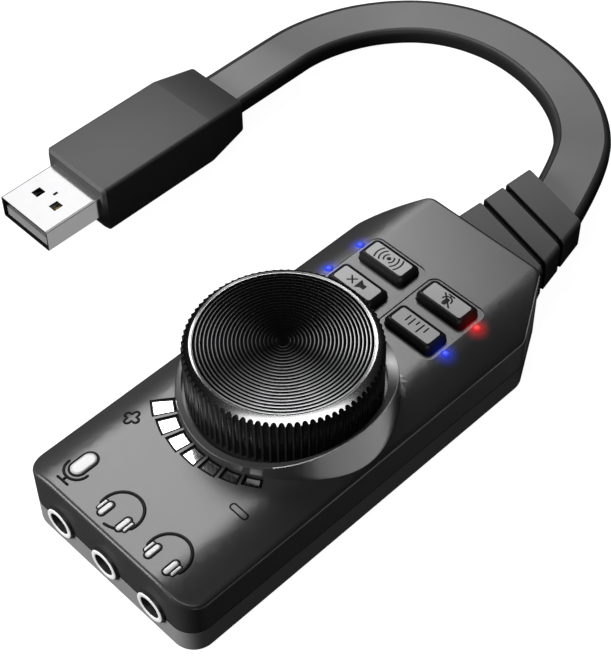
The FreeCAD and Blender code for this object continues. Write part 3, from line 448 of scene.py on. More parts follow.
board_lacquer = make_finish(
    "board_lacquer", (0.010, 0.100, 0.040), (0.030, 0.190, 0.080), (0.25, 0.38), patch=700.0,
    relief=0.00002)
chip_epoxy = make_finish("chip_epoxy", (0.012, 0.012, 0.013), 0.024, (0.50, 0.66), fine=6000.0)
can_steel = make_finish(
    "can_steel", (0.52, 0.52, 0.53), 0.64, (0.22, 0.36), patch=800.0, Metallic=1.0)
contact_gold = make_finish(
    "contact_gold", (0.72, 0.50, 0.17), (0.82, 0.60, 0.24), (0.16, 0.28), patch=1200.0, Metallic=1.0)
housing_ivory = make_finish("housing_ivory", (0.66, 0.64, 0.57), (0.74, 0.72, 0.66), (0.40, 0.52))
housing_black = make_finish("housing_black", (0.010, 0.010, 0.011), 0.018, (0.38, 0.52))
bushing_brass = make_finish(
    "bushing_brass", (0.60, 0.45, 0.20), (0.70, 0.54, 0.26), (0.24, 0.36), patch=900.0, Metallic=1.0)
jack_names = ("microphone", "headset", "headphone")
inner_finishes = {
    board_lacquer: ["main_board"],
    chip_epoxy: ["codec_chip", "amplifier_chip", "resistors"],
    can_steel: ["crystal", "capacitors", "encoder_body", "encoder_nut", "encoder_shaft"],
    contact_gold: ["usb_contacts"] + [name + "_jack_contacts" for name in jack_names],
    housing_ivory: ["cord_connector", "led_chips"],
    housing_black: [name + part for name in light_tints for part in ("_switch", "_plunger")],
    bushing_brass: ["encoder_bushing"],
}
for inner_finish, members in inner_finishes.items():
    for member in members:
        paint(member, inner_finish)
lead_tones = {"red": (0.50, 0.02, 0.02), "white": (0.70, 0.70, 0.68), "green": (0.02, 0.24, 0.05),
              "black": (0.012, 0.012, 0.012)}
for lead_name, lead_tone in lead_tones.items():
    lead_shade = tuple(value * 0.8 for value in lead_tone)
    paint(lead_name + "_lead", make_finish(lead_name + "_insulation", lead_tone, lead_shade, (0.35, 0.48)))


# Jacks: a bright nickel ring with rounded lips stands in the front wall for each plug, and behind it
# sits the black moulded body with the contacts. Only the lips show nickel; the ring's bore and outer
# wall are painted black as shade.
def skin(form, rings):
    """Faces between rings of equally many corners; gives them ring by ring."""
    faces = []
    for ring, following in zip(rings, rings[1:]):
        for corner in range(len(ring)):
            other = (corner + 1) % len(ring)
            faces.append(form.faces.new((ring[corner], ring[other], following[other], following[corner])))
    return faces


def turned_rings(form, profile, place, steps):
    """Skin turned round an axis; place gives a point from a radius, a height and an angle."""
    angles = [2 * math.pi * step / steps for step in range(steps)]
    rings = []
    for radius, height in profile:
        rings.append([form.verts.new(place(radius, height, angle)) for angle in angles])
    return rings, skin(form, rings)


def finish_piece(name, form, materials, body, crease):
    """Weld a form drawn in millimetres, crease its sharp edges and hang it on its body."""
    bmesh.ops.remove_doubles(form, verts=form.verts, dist=0.0005)
    bmesh.ops.recalc_face_normals(form, faces=form.faces)
    bmesh.ops.scale(form, vec=(0.001, 0.001, 0.001), verts=form.verts)
    shade(form, crease)
    return hang(name, plain_mesh(name, form), materials, body)


def about_jack(middle, front):
    """Places round a jack's axis, by radius, depth behind the ring's face and angle."""
    return lambda radius, depth, angle: Vector(
        (middle.x + radius * math.cos(angle), front + depth, middle.z + radius * math.sin(angle)))


jack_nickel = make_finish(
    "jack_nickel", 0.82, 0.90, (0.24, 0.34), patch=900.0, relief=0.000003, Metallic=0.4)
ring_outer = 2.7
ring_bore = 1.8
ring_length = 2.7
ring_bright = 0.12
ring_steps = 64
ring_profile = [
    (ring_bore, ring_length), (ring_bore, ring_bright), (ring_bore + 0.03, 0.05), (ring_bore + 0.10, 0),
    (ring_outer - 0.28, 0), (ring_outer - 0.18, 0.03), (ring_outer - 0.14, 0.12), (ring_outer - 0.03, 0.18),
    (ring_outer, 0.28), (ring_outer, ring_length), (ring_bore, ring_length)]
ring_lip_rows = range(1, 6)
for jack_name in jack_names:
    jack_place = about_jack(
        middle_of(jack_name + "_jack_ring") * 1000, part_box(jack_name + "_jack_ring")[0].y * 1000)
    ring_form = bmesh.new()
    ring_faces = turned_rings(ring_form, ring_profile, jack_place, ring_steps)[1]
    # Painted shade: the bore and the outer wall take the body's black.
    for index, face in enumerate(ring_faces):
        face.material_index = 0 if index // ring_steps in ring_lip_rows else 1
    jack_ring = finish_piece(
        jack_name + "_socket_ring", ring_form, [jack_nickel, housing_black], "case", 50)
    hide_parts(jack_name + "_jack_ring")
    paint(jack_name + "_jack_body", housing_black)


# Marks over the jacks and beside the scale: moulded into the cover as raised pads and beads, so that
# a finger finds them. The beads are painted black as the shade of the outlines and the pads light grey
# as a painted reflection.
def bead(form, points, width, height, surface, closed=False, sink=0.04):
    """Low rounded bead along a line of (x, y) points on a surface, with rounded ends."""
    rows = [(Vector(point), 1.0) for point in points]
    if not closed:
        start = rows[0][0]
        end = rows[-1][0]
        first = (start - rows[1][0]).normalized() * width / 2
        last = (end - rows[-2][0]).normalized() * width / 2
        rows = [(start + first, 0.05), (start + first * 0.7, 0.7)] + rows
        rows += [(end + last * 0.7, 0.7), (end + last, 0.05)]
    places = [place for place, share in rows]
    strips = []
    for index, (place, share) in enumerate(rows):
        if closed:
            before, after = places[index - 1], places[(index + 1) % len(places)]
        else:
            before, after = places[max(index - 1, 0)], places[min(index + 1, len(places) - 1)]
        along = (after - before).normalized()
        side = Vector((-along.y, along.x))
        strip = []
        for across, rise in ((-1, 0), (-0.8, 0.6), (-0.35, 0.95), (0.35, 0.95), (0.8, 0.6), (1, 0)):
            at = place + side * (across * width / 2 * share)
            z = surface(at.x, at.y) - sink + (height + sink) * rise * (0.3 + 0.7 * share)
            strip.append(form.verts.new((at.x, at.y, z)))
        strips.append(strip)
    skin(form, strips + strips[:1] if closed else strips)
    if not closed:
        form.faces.new(strips[0])
        form.faces.new(reversed(strips[-1]))


def outline_rows(form, rows):
    """Skin through rows of equally many points, closed at both ends; gives its faces row by row."""
    rings = [[form.verts.new(point) for point in row] for row in rows]
    faces = skin(form, rings)
    form.faces.new(reversed(rings[0]))
    form.faces.new(rings[-1])
    return faces


def pad(form, outline, height, bevel, surface, sink=0.05):
    """Raised pad with a bevelled edge inside an outline of (x, y) points."""
    middle = sum((Vector(point) for point in outline), Vector((0, 0))) / len(outline)
    rows = []
    for inset, rise in ((0, -sink), (0, height * 0.5), (bevel * 0.4, height * 0.9), (bevel, height)):
        row = []
        for point in outline:
            at = Vector(point) + (middle - Vector(point)).normalized() * inset
            row.append((at.x, at.y, surface(at.x, at.y) + rise))
        rows.append(row)
    outline_rows(form, rows)


def arc(middle, radius, start, end, steps=24):
    """Points on an arc, in degrees."""
    points = []
    for step in range(steps + 1):
        angle = math.radians(start + (end - start) * step / steps)
        points.append((middle[0] + radius * math.cos(angle), middle[1] + radius * math.sin(angle)))
    return points


def lozenge(middle, width, length, radius, steps=8):
    """Closed outline of an upright rounded rectangle."""
    points = []
    for side, level, start in ((1, 1, 0), (-1, 1, 90), (-1, -1, 180), (1, -1, 270)):
        corner = (middle[0] + side * (width / 2 - radius), middle[1] + level * (length / 2 - radius))
        points += arc(corner, radius, start, start + 90, steps)
    return points


# Black for print and painted shade: it prints the symbols on the buttons, and it is painted as shade on the
# mark beads, the bars' borders and the plug shell's inside. The grey is a painted reflection on the pads.
print_and_shade_black = make_finish(
    "print_and_shade_black", 0.003, 0.006, (0.30, 0.40), relief=0.000003, Specular_IOR_Level=0.08)
painted_reflection_grey = make_finish(
    "painted_reflection_grey", 0.30, 0.36, (0.16, 0.24), relief=0.000003, Specular_IOR_Level=0.7)
bead_width = 0.48
bead_height = 0.16
ring_height = 0.14
pad_height = 0.20
front_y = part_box("top_cover")[0].y * 1000
mark_lines = bmesh.new()
mark_pads = bmesh.new()

microphone_x = -10.6
microphone_middle = (microphone_x, front_y + 5.75)
pad(mark_pads, lozenge(microphone_middle, 2.25, 4.3, 1.12), pad_height, 0.45, crown_z)
bead(mark_lines, lozenge(microphone_middle, 2.65, 4.7, 1.32), 0.40, ring_height, crown_z, closed=True)
bead(mark_lines, arc((microphone_x, front_y + 4.7), 2.02, 178, 362), bead_width, bead_height, crown_z)
stem = [(microphone_x, front_y + 2.7), (microphone_x, front_y + 1.9)]
bead(mark_lines, stem, bead_width, bead_height, crown_z)
bead(mark_lines, [(-11.6, front_y + 1.85), (-9.5, front_y + 1.85)], 0.46, bead_height, crown_z)

for phones_x, has_boom in ((-0.68, True), (9.15, False)):
    cup_y = front_y + 3.05
    bead(mark_lines, arc((phones_x, front_y + 4.18), 3.28, 196, -16, 40), 0.56, bead_height, crown_z)
    for side in (-1, 1):
        cup = (phones_x + side * 1.86, cup_y)
        cushion = (cup[0] + side * 0.86, cup_y + 0.15)
        pad(mark_pads, lozenge(cup, 0.85, 2.5, 0.42), pad_height, 0.26, crown_z)
        bead(mark_lines, lozenge(cup, 1.16, 2.8, 0.57), 0.34, ring_height, crown_z, closed=True)
        pad(mark_pads, lozenge(cushion, 0.42, 1.8, 0.2), pad_height, 0.14, crown_z)
        bead(mark_lines, lozenge(cushion, 0.66, 2.05, 0.32), 0.20, 0.12, crown_z, closed=True)
    if has_boom:
        boom = [(phones_x + 1.4, front_y + 1.7), (phones_x + 0.6, front_y + 1.4),
                (phones_x - 0.15, front_y + 1.25)]
        bead(mark_lines, boom, bead_width, bead_height, crown_z)

plus_middle = Vector((-12.05, front_y + 15.95))
plus_arm = 1.32
plus_half = 0.46
plus_outline = []
for quarter in range(4):
    spin = Matrix.Rotation(math.radians(90 * quarter), 2)
    arm = arc((plus_arm - plus_half, 0), plus_half, -90, 90, 10) + [(plus_half, plus_half)]
    plus_outline += [plus_middle + spin @ Vector(point) for point in arm]
bead(mark_lines, plus_outline, 0.42, ring_height, crown_z, closed=True)
bead(mark_lines, lozenge((10.88, front_y + 15.68), 3.1, 0.98, 0.48), 0.28, 0.10, crown_z, closed=True)
finish_piece("cover_mark_lines", mark_lines, [print_and_shade_black], "case", 60)
finish_piece("cover_mark_pads", mark_pads, [painted_reflection_grey], "case", 60)


# Level scale: one bright plated moulding set in from below, its seven bars a little sunk in the
# cover's windows. Each bar's sides and a narrow border round its top are painted black as the shade
# of its window.
scale_chrome = make_finish(
    "scale_chrome", 0.90, 0.95, (0.05, 0.10), patch=600.0, relief=0.000001, Metallic=1.0)
level_scale = welded_copy("level_scale", "level_bars", [scale_chrome, print_and_shade_black])
bar_border = 0.00024
bars_form = bmesh.new()
bars_form.from_mesh(level_scale.data)
# Painted shade: the bar's sides and an inset border round its top take the black.
bar_tops = [face for face in bars_form.faces if face.normal.z > 0.6]
for face in bars_form.faces:
    face.material_index = 0 if face in bar_tops else 1
borders = bmesh.ops.inset_region(
    bars_form, faces=bar_tops, thickness=bar_border, use_boundary=True, use_even_offset=True)
for face in borders["faces"]:
    face.material_index = 1
bars_form.to_mesh(level_scale.data)
bars_form.free()


# Status lights: clear moulded pipes with a domed end in holes of the cover, lit from the board below,
# three of them blue and one red.
def upright(x, y):
    """Places round an upright axis, by radius, height and angle."""
    return lambda radius, z, angle: Vector((x + radius * math.cos(angle), y + radius * math.sin(angle), z))


dome_rise = 0.32
dome_start = 0.15
pipe_radius = 0.65
pipe_steps = 32
for light_name, light_place in light_places.items():
    tint = light_tints[light_name]
    lens_shade = tuple(0.2 * value for value in tint)
    lens_glow = make_finish(
        light_name + "_lens", lens_shade, lens_shade, (0.30, 0.40), Emission_Strength=1.0,
        Specular_IOR_Level=0.1)
    lens_nodes = lens_glow.node_tree
    core_tint = tuple(0.12 + 0.88 * value for value in tint)
    edge_tint = tuple(0.4 * value for value in tint)
    core = add_spill(lens_nodes, light_place + Vector((0, 0, 0.0001)), 0.0010, core_tint, edge_tint)
    connect(lens_nodes, (core, "Color", lens_nodes.nodes["Principled BSDF"], "Emission Color"))
    lens_x, lens_y, lens_top = light_place * 1000
    foot_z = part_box(light_name + "_light_pipe")[0].z * 1000
    dome_z = lens_top - dome_start
    lens_profile = [(0.02, foot_z), (pipe_radius, foot_z), (pipe_radius, dome_z)]
    for step in range(1, 7):
        angle = math.radians(15 * step)
        lens_profile.append((max(pipe_radius * math.cos(angle), 0.02), dome_z + dome_rise * math.sin(angle)))
    lens_form = bmesh.new()
    lens_rings = turned_rings(lens_form, lens_profile, upright(lens_x, lens_y), pipe_steps)[0]
    lens_form.faces.new(reversed(lens_rings[0]))
    lens_form.faces.new(lens_rings[-1])
    lens = finish_piece(light_name + "_lens", lens_form, [lens_glow], "case", 50)
    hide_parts(light_name + "_light_pipe")


# Buttons: moulded caps with a grey top and a black bevelled skirt, on the plungers of tact switches;
# the status lights' glow is painted onto the skirts. Each top carries a plain black symbol that reads
# from the cord's end.
cap_top_grey = make_finish(
    "cap_top_grey", (0.205, 0.205, 0.208), (0.235, 0.235, 0.238), (0.34, 0.44), patch=400.0,
    relief=0.000006)
cap_side_black = make_finish(
    "cap_side_black", 0.006, 0.012, (0.20, 0.28), relief=0.000004, Specular_IOR_Level=0.12)
# Painted glow: the status lights' colour is painted onto the skirts as emission.
paint_light_glow(cap_side_black, 0.0036, 0.14)
cap_length = 9.3
cap_width = 4.6
symbol_line = 0.34
symbol_height = 0.03
waves = []
for wave_radius, wave_reach, wave_steps in ((0.85, 50, 10), (1.6, 42, 12), (2.35, 30, 12)):
    for wave_middle in (0, 180):
        waves.append(arc((0, 0), wave_radius, wave_middle - wave_reach, wave_middle + wave_reach, wave_steps))
symbols = {
    "surround": (waves, [lozenge((0, 0), 0.7, 0.7, 0.34)]),
    "speaker_mute": (
        [[(0.55, -0.55), (1.65, 0.55)], [(0.55, 0.55), (1.65, -0.55)]],
        [[(-1.6, -0.42), (-0.9, -0.42), (-0.1, -1.0), (-0.1, 1.0), (-0.9, 0.42), (-1.6, 0.42)]]),
    "microphone_mute": (
        [arc((0, 0.1), 0.82, 180, 360, 14), [(0, -0.72), (0, -1.08)], [(-0.55, -1.1), (0.55, -1.1)],
         [(-1.15, 1.0), (1.15, -0.95)]],
        [lozenge((0, 0.35), 0.78, 1.5, 0.38)]),
    "equaliser": (
        [[(u, -0.9), (u, top)] for u, top in ((-1.8, 0.1), (-0.9, 0.9), (0, -0.2), (0.9, 0.6), (1.8, 0.25))],
        []),
}
for cap_name, (lines, fills) in symbols.items():
    cap_low, cap_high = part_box(cap_name + "_button")
    cap_x, cap_y = (cap_low + cap_high).xy * 500
    cap_z = cap_high.z * 1000
    flange_z = cap_low.z * 1000 + 0.1
    cap_rows = []
    for inset, z, radius in ((-0.5, flange_z, 0.9), (-0.5, flange_z + 0.6, 0.9), (0, flange_z + 0.6, 0.9),
                             (0, cap_z - 0.62, 0.9), (0.05, cap_z - 0.54, 0.86), (0.46, cap_z - 0.12, 0.56),
                             (0.54, cap_z - 0.07, 0.52), (0.86, cap_z - 0.012, 0.38), (0.88, cap_z, 0.36)):
        row = lozenge((cap_x, cap_y), cap_length - 2 * inset, cap_width - 2 * inset, radius)
        cap_rows.append([(x, y, z) for x, y in row])
    cap_form = bmesh.new()
    outline_rows(cap_form, cap_rows)
    for face in cap_form.faces:
        heights = [vertex.co.z for vertex in face.verts]
        face.material_index = 0 if min(heights) > cap_z - 0.03 else 1
    cap = finish_piece(
        cap_name + "_cap", cap_form, [cap_top_grey, cap_side_black], cap_name + "_key", 30)
    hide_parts(cap_name + "_button")
    symbol_form = bmesh.new()
    for line in lines:
        turned_line = [(cap_x - u, cap_y - v) for u, v in line]
        bead(symbol_form, turned_line, symbol_line, symbol_height, lambda x, y: cap_z)
    for fill in fills:
        turned_fill = [(cap_x - u, cap_y - v) for u, v in fill]
        pad(symbol_form, turned_fill, symbol_height, 0.05, lambda x, y: cap_z)
    finish_piece(cap_name + "_symbol", symbol_form, [print_and_shade_black], cap_name + "_key", 60)


# Knob grip: turned aluminium, black anodised, with knurled ribs all round. The chamfer round its top is
# cut through the ribs and shows their scalloped ends; a narrow rim inside it is left bright.
grip_low, grip_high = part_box("knob_grip")
knob_x, knob_y = (grip_low + grip_high).xy * 500
grip_bottom = grip_low.z * 1000
grip_top = grip_high.z * 1000
grip_radius = (grip_high.x - grip_low.x) * 500
grip_bore = 12.2
bore_depth = 6.0
rib_count = 84
rib_depth = 0.45
chamfer_run = 1.2
chamfer_fall = 1.0
rim_width = 0.28
rim_round = 0.02
knob_steps = 168
core_radius = grip_radius - rib_depth
knob_black = make_finish(
    "knob_black", 0.008, 0.014, (0.24, 0.34), patch=600.0, relief=0.000004, Specular_IOR_Level=0.7)
cut_metal = make_finish(
    "cut_metal", (0.52, 0.52, 0.525), (0.58, 0.58, 0.585), (0.18, 0.24), patch=500.0, relief=0.000002,
    Metallic=1.0)
chamfer_black = make_finish(
    "chamfer_black", (0.10, 0.10, 0.101), (0.13, 0.13, 0.131), (0.24, 0.30), patch=500.0, relief=0.0000006,
    Metallic=1.0, Specular_Tint=(0, 0, 0, 1))


def chamfer_z(radius):
    """Height of the chamfer's cone at a radius."""
    return grip_top - chamfer_fall + (grip_radius - radius) * chamfer_fall / chamfer_run


about_knob = upright(knob_x, knob_y)
core_form = bmesh.new()
core_profile = [
    (grip_bore, grip_bottom + bore_depth), (grip_bore, grip_bottom), (core_radius - 0.2, grip_bottom),
    (core_radius, grip_bottom + 0.2), (core_radius, chamfer_z(core_radius))]
turned_rings(core_form, core_profile, about_knob, knob_steps)
knob_core = finish_piece("knob_core", core_form, [knob_black], "knob", 35)
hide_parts("knob_grip")

chamfer_form = bmesh.new()
rim_radius = grip_radius - chamfer_run
chamfer_profile = [
    (core_radius, chamfer_z(core_radius)), (rim_radius + rim_round, grip_top - 0.016),
    (rim_radius - rim_round, grip_top), (rim_radius - rim_width, grip_top - 0.10),
    (rim_radius - rim_width, grip_top - 0.8)]
chamfer_faces = turned_rings(chamfer_form, chamfer_profile, about_knob, knob_steps)[1]
for face in chamfer_faces[:knob_steps]:
    face.material_index = 1
knob_chamfer = finish_piece(
    "knob_chamfer", chamfer_form, [cut_metal, chamfer_black], "knob", 20)

rib_side = [(0.50, -0.01), (0.42, 0.01), (0.32, 0.05), (0.24, 0.11), (0.17, 0.20), (0.12, 0.31),
            (0.09, 0.41), (0.05, 0.45)]
rib_outline = [(-aside, out) for aside, out in rib_side] + rib_side[::-1]
rib_foot = 0.25
rib_foot_inset = 0.18
rib_rows = []
for level in range(3):
    row = []
    for aside, out in rib_outline:
        radius = core_radius + out
        z = (grip_bottom, grip_bottom + rib_foot, chamfer_z(radius))[level]
        if level == 0:
            radius -= rib_foot_inset
        row.append((radius / 1000, aside / 1000, z / 1000))
    rib_rows.append(row)
rib_walls = bmesh.new()
wall_rings = [[rib_walls.verts.new(point) for point in row] for row in rib_rows]
for ring, following in zip(wall_rings, wall_rings[1:]):
    for corner in range(len(ring) - 1):
        rib_walls.faces.new((ring[corner], ring[corner + 1], following[corner + 1], following[corner]))
rib_walls.faces.new(reversed(wall_rings[0]))
rib_ends = bmesh.new()
rib_ends.faces.new([rib_ends.verts.new(point) for point in rib_rows[-1]])

ribs_tree, ribs_in, ribs_out = node_group(
    "ring_of_ribs", "GeometryNodeTree",
    {"Rib": "Object", "Count": "Int", "Axis": "Vector", "Finish": "Material"}, {"Geometry": "Geometry"})
ribs_points = add_node(ribs_tree, "GeometryNodePoints")
ribs_index = add_node(ribs_tree, "GeometryNodeInputIndex")
ribs_step = add_node(ribs_tree, "ShaderNodeMath", {0: 2 * math.pi}, operation="DIVIDE")
ribs_angle = add_node(ribs_tree, "ShaderNodeMath", operation="MULTIPLY")
ribs_turn = add_node(ribs_tree, "ShaderNodeCombineXYZ")
ribs_master = add_node(ribs_tree, "GeometryNodeObjectInfo")
ribs_copies = add_node(ribs_tree, "GeometryNodeInstanceOnPoints")
ribs_real = add_node(ribs_tree, "GeometryNodeRealizeInstances")
ribs_finish = add_node(ribs_tree, "GeometryNodeSetMaterial")
connect(
    ribs_tree,
    (ribs_in, "Count", ribs_points, "Count"),
    (ribs_in, "Axis", ribs_points, "Position"),
    (ribs_in, "Count", ribs_step, 1),
    (ribs_index, "Index", ribs_angle, 0),
    (ribs_step, "Value", ribs_angle, 1),
    (ribs_angle, "Value", ribs_turn, "Z"),
    (ribs_in, "Rib", ribs_master, "Object"),
    (ribs_points, "Points", ribs_copies, "Points"),
    (ribs_master, "Geometry", ribs_copies, "Instance"),
    (ribs_turn, "Vector", ribs_copies, "Rotation"),
    (ribs_copies, "Instances", ribs_real, "Geometry"),
    (ribs_real, "Geometry", ribs_finish, "Geometry"),
    (ribs_in, "Finish", ribs_finish, "Material"),
    (ribs_finish, "Geometry", ribs_out, "Geometry"))


def ring_of_ribs(name, form, material):
    """One drawn rib copied round the knob's axis and made a plain mesh."""
    bmesh.ops.recalc_face_normals(form, faces=form.faces)
    shade(form, 50)
    master = bpy.data.objects.new(name + "_master", plain_mesh(name + "_master", form))
    carrier = bpy.data.objects.new(name + "_carrier", bpy.data.meshes.new(name + "_carrier"))
    scene_objects.link(master)
    scene_objects.link(carrier)
    modifier = carrier.modifiers.new("ribs", "NODES")
    modifier.node_group = ribs_tree
    values = {"Rib": master, "Count": rib_count, "Axis": (knob_x / 1000, knob_y / 1000, 0),
              "Finish": material}
    for item in ribs_tree.interface.items_tree:
        if item.in_out == "INPUT":
            modifier[item.identifier] = values[item.name]
    bpy.context.view_layer.update()
    mesh = bpy.data.meshes.new_from_object(carrier.evaluated_get(bpy.context.evaluated_depsgraph_get()))
    mesh.name = name
    bpy.data.objects.remove(carrier)
    bpy.data.objects.remove(master)
    mesh.materials.clear()
    return hang(name, mesh, [material], "knob")


ring_of_ribs("knob_ribs", rib_walls, knob_black)
knob_rib_ends = ring_of_ribs("knob_rib_ends", rib_ends, chamfer_black)
chamfer_lit.objects.link(knob_chamfer)
chamfer_lit.objects.link(knob_rib_ends)
knob_lit.objects.link(knob_chamfer)


# Knob disc: black anodised aluminium set in the grip, with fine concentric grooves turned on a lathe.
# One flank of each groove is bright metal and the rest painted black, to draw their highlight lines,
# and the metal is painted darker towards the middle as a painted fade of the shine.
disc_radius = grip_radius - chamfer_run - rim_width
disc_grooves = 22
disc_centre = 0.6
bright_share = 0.34
disc_steps = 192
disc_metal = make_finish(
    "disc_metal", (0.60, 0.60, 0.61), (0.68, 0.68, 0.69), (0.27, 0.34), patch=700.0, relief=0.000002,
    Metallic=1.0)
disc_black = make_finish(
    "disc_black", 0.0010, 0.0016, (0.40, 0.50), patch=700.0, relief=0.000002, Specular_IOR_Level=0.03)
# Painted fade: the bright metal's colour is mixed towards black nearer the middle.
disc_nodes = disc_metal.node_tree
disc_place = add_node(disc_nodes, "ShaderNodeTexCoord")
disc_far = add_node(
    disc_nodes, "ShaderNodeVectorMath", {1: (knob_x / 1000, knob_y / 1000, grip_top / 1000)},
    operation="DISTANCE")
painted_shine_fade = add_node(
    disc_nodes, "ShaderNodeMapRange", {"From Min": 0.002, "From Max": disc_radius / 1000, "To Min": 0.10})
disc_curve = add_node(disc_nodes, "ShaderNodeMath", {1: 1.4}, operation="POWER")
disc_tone = add_node(disc_nodes, "ShaderNodeMix", {"A": colour(0.0)}, data_type="RGBA")
connect(
    disc_nodes,
    (disc_place, "Object", disc_far, 0),
    (disc_far, "Value", painted_shine_fade, "Value"),
    (painted_shine_fade, "Result", disc_curve, 0),
    (disc_curve, "Value", disc_tone, "Factor"),
    (disc_nodes.nodes["surface"], "Color", disc_tone, "B"),
    (disc_tone, "Result", disc_nodes.nodes["Principled BSDF"], "Base Color"))
groove_pitch = (disc_radius - disc_centre) / disc_grooves
disc_profile = [
    (0.05, grip_top - 0.05), (disc_centre * 0.8, grip_top - 0.05), (disc_centre, grip_top - 0.12)]
bright_rows = []
for groove_index in range(disc_grooves):
    crest = disc_centre + (groove_index + 1 - bright_share) * groove_pitch
    bright_rows += [len(disc_profile), len(disc_profile) + 1, len(disc_profile) + 2]
    for share, depth in ((0, 0.02), (0.3, 0.035), (0.7, 0.075), (1.0, 0.12)):
        disc_profile.append((crest + share * bright_share * groove_pitch, grip_top - depth))
disc_profile.append((disc_radius, grip_top - 0.7))
disc_form = bmesh.new()
disc_rings, disc_faces = turned_rings(disc_form, disc_profile, about_knob, disc_steps)
disc_form.faces.new(disc_rings[0])
# Painted highlight lines: the bright flank of each groove takes the metal, the rest the black.
for index, face in enumerate(disc_faces):
    face.material_index = 0 if index // disc_steps in bright_rows else 1
knob_disc = finish_piece("knob_turned_disc", disc_form, [disc_metal, disc_black], "knob", 15)
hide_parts("knob_disc")
knob_lit.objects.link(knob_disc)
far_unlit.objects.link(knob_disc)


# Strain relief: soft dark moulding in three tiers with deep grooves between them, so that it bends;
# its neck passes the rear wall and a flange behind holds it. The grooves' walls and floors are painted
# near-black as shade.
relief_low, relief_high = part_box("strain_relief")
relief_z = (relief_low.z + relief_high.z) * 500
relief_length = 18.2
relief_skew = -13.5
relief_root_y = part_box("top_cover")[1].y * 1000
relief_groove = 1.05
relief_depth = 0.9
relief_lip = 0.10
relief_corner = 0.9
relief_width = 19.2
relief_narrowing = 4.6
relief_height = 6.9
relief_thinning = 0.8
flange_size = (16.0, 6.2)
neck_size = (13.0, 4.4)
relief_rubber = make_finish("relief_rubber", 0.030, 0.040, (0.44, 0.56), relief=0.000014)
groove_painted_shade = make_finish("groove_painted_shade", 0.004, 0.007, (0.60, 0.70), Specular_IOR_Level=0.1)


def relief_row(along, inset, skew=relief_skew):
    """Section of the leaning boot at a length along it, moved in by a distance."""
    share = along / relief_length
    turn = math.radians(skew)
    middle_x = 1.0 - 1.5 * share
    width = relief_width - relief_narrowing * share - 2 * inset
    height = relief_height - relief_thinning * share - 2 * inset
    row = []
    for u, z in lozenge((0, relief_z), width, height, relief_corner, 6):
        row.append((middle_x + u * math.cos(turn), relief_root_y + along + u * math.sin(turn), z))
    return row


def relief_collar(y, width, height):
    """Section of the hidden neck and flange, square to the case."""
    return [(x, y, z) for x, z in lozenge((0, relief_z), width, height, relief_corner, 6)]


flange_y = relief_low.y * 1000
wall_y = flange_y + 1.6
relief_rows = [relief_collar(flange_y, *flange_size), relief_collar(wall_y, *flange_size),
               relief_collar(wall_y, *neck_size), relief_collar(relief_root_y, *neck_size),
               relief_row(0, 0, 0)]
groove_rows = []
for groove_along in (6.6, 12.05):
    groove_rows += range(len(relief_rows) + 1, len(relief_rows) + 4)
    for offset, inset in ((-relief_lip, 0), (0, relief_lip), (0, relief_depth), (relief_groove, relief_depth),
                          (relief_groove, relief_lip), (relief_groove + relief_lip, 0)):
        relief_rows.append(relief_row(groove_along - relief_groove / 2 + offset, inset))
relief_rows += [relief_row(relief_length - relief_lip, 0), relief_row(relief_length, relief_lip)]
relief_form = bmesh.new()
# Painted shade: the grooves' walls and floors take the near-black.
for index, face in enumerate(outline_rows(relief_form, relief_rows)):
    face.material_index = 1 if index // len(relief_rows[0]) in groove_rows else 0
relief = finish_piece(
    "strain_relief_boot", relief_form, [relief_rubber, groove_painted_shade], "case", 40)
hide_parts("strain_relief")


# Plug grip: one soft moulding over the plug's shell, square at the front with a narrow bright bevel
# and tapered on all sides towards the cord.
plug_low, plug_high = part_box("plug_overmold")
plug_x = (plug_low.x + plug_high.x) * 500
plug_z = (plug_low.z + plug_high.z) * 500
plug_front = plug_low.y * 1000
plug_rear = plug_high.y * 1000
plug_width = (plug_high.x - plug_low.x) * 1000
plug_height = (plug_high.z - plug_low.z) * 1000
plug_corner = 0.7
plug_rubber = make_finish(
    "plug_rubber", 0.029, 0.035, (0.44, 0.54), relief=0.000010, Specular_IOR_Level=0.3)
plug_rows = []
for y, width_cut, height_cut in (
        (plug_front, 1.2, 1.2), (plug_front + 0.12, 0.9, 0.9), (plug_front + 0.5, 0.1, 0.1),
        (plug_front + 0.7, 0, 0), (plug_rear - 8.25, 0, 0), (plug_rear - 7.95, 0.06, 0.07),
        (plug_rear - 0.3, 2.05, 2.4), (plug_rear - 0.06, 2.25, 2.65), (plug_rear, 2.6, 3.0)):
    row = lozenge((plug_x, plug_z), plug_width - width_cut, plug_height - height_cut, plug_corner, 6)
    plug_rows.append([(x, y, z) for x, z in row])
plug_form = bmesh.new()
outline_rows(plug_form, plug_rows)
plug_grip = finish_piece("plug_grip", plug_form, [plug_rubber], "case", 25)
edge_lit.objects.link(plug_grip)
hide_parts("plug_overmold")


# Plug shell: nickel-plated steel sheet folded into a box, with two latch windows above and below, the
# black tongue inside it and four gilt contact strips on the tongue. Its inside and the front faces of
# its mouth are painted black as shade.
shell_nickel = make_finish(
    "shell_nickel", (0.86, 0.86, 0.87), (0.92, 0.92, 0.93), (0.12, 0.22), patch=400.0, relief=0.000002,
    Metallic=1.0)
usb_shell = welded_copy("usb_shell", "plug_shell", [shell_nickel, print_and_shade_black])
shell_lit.objects.link(usb_shell)
far_unlit.objects.link(usb_shell)
for listed in far_unlit.collection_objects:
    listed.light_linking.link_state = "EXCLUDE"
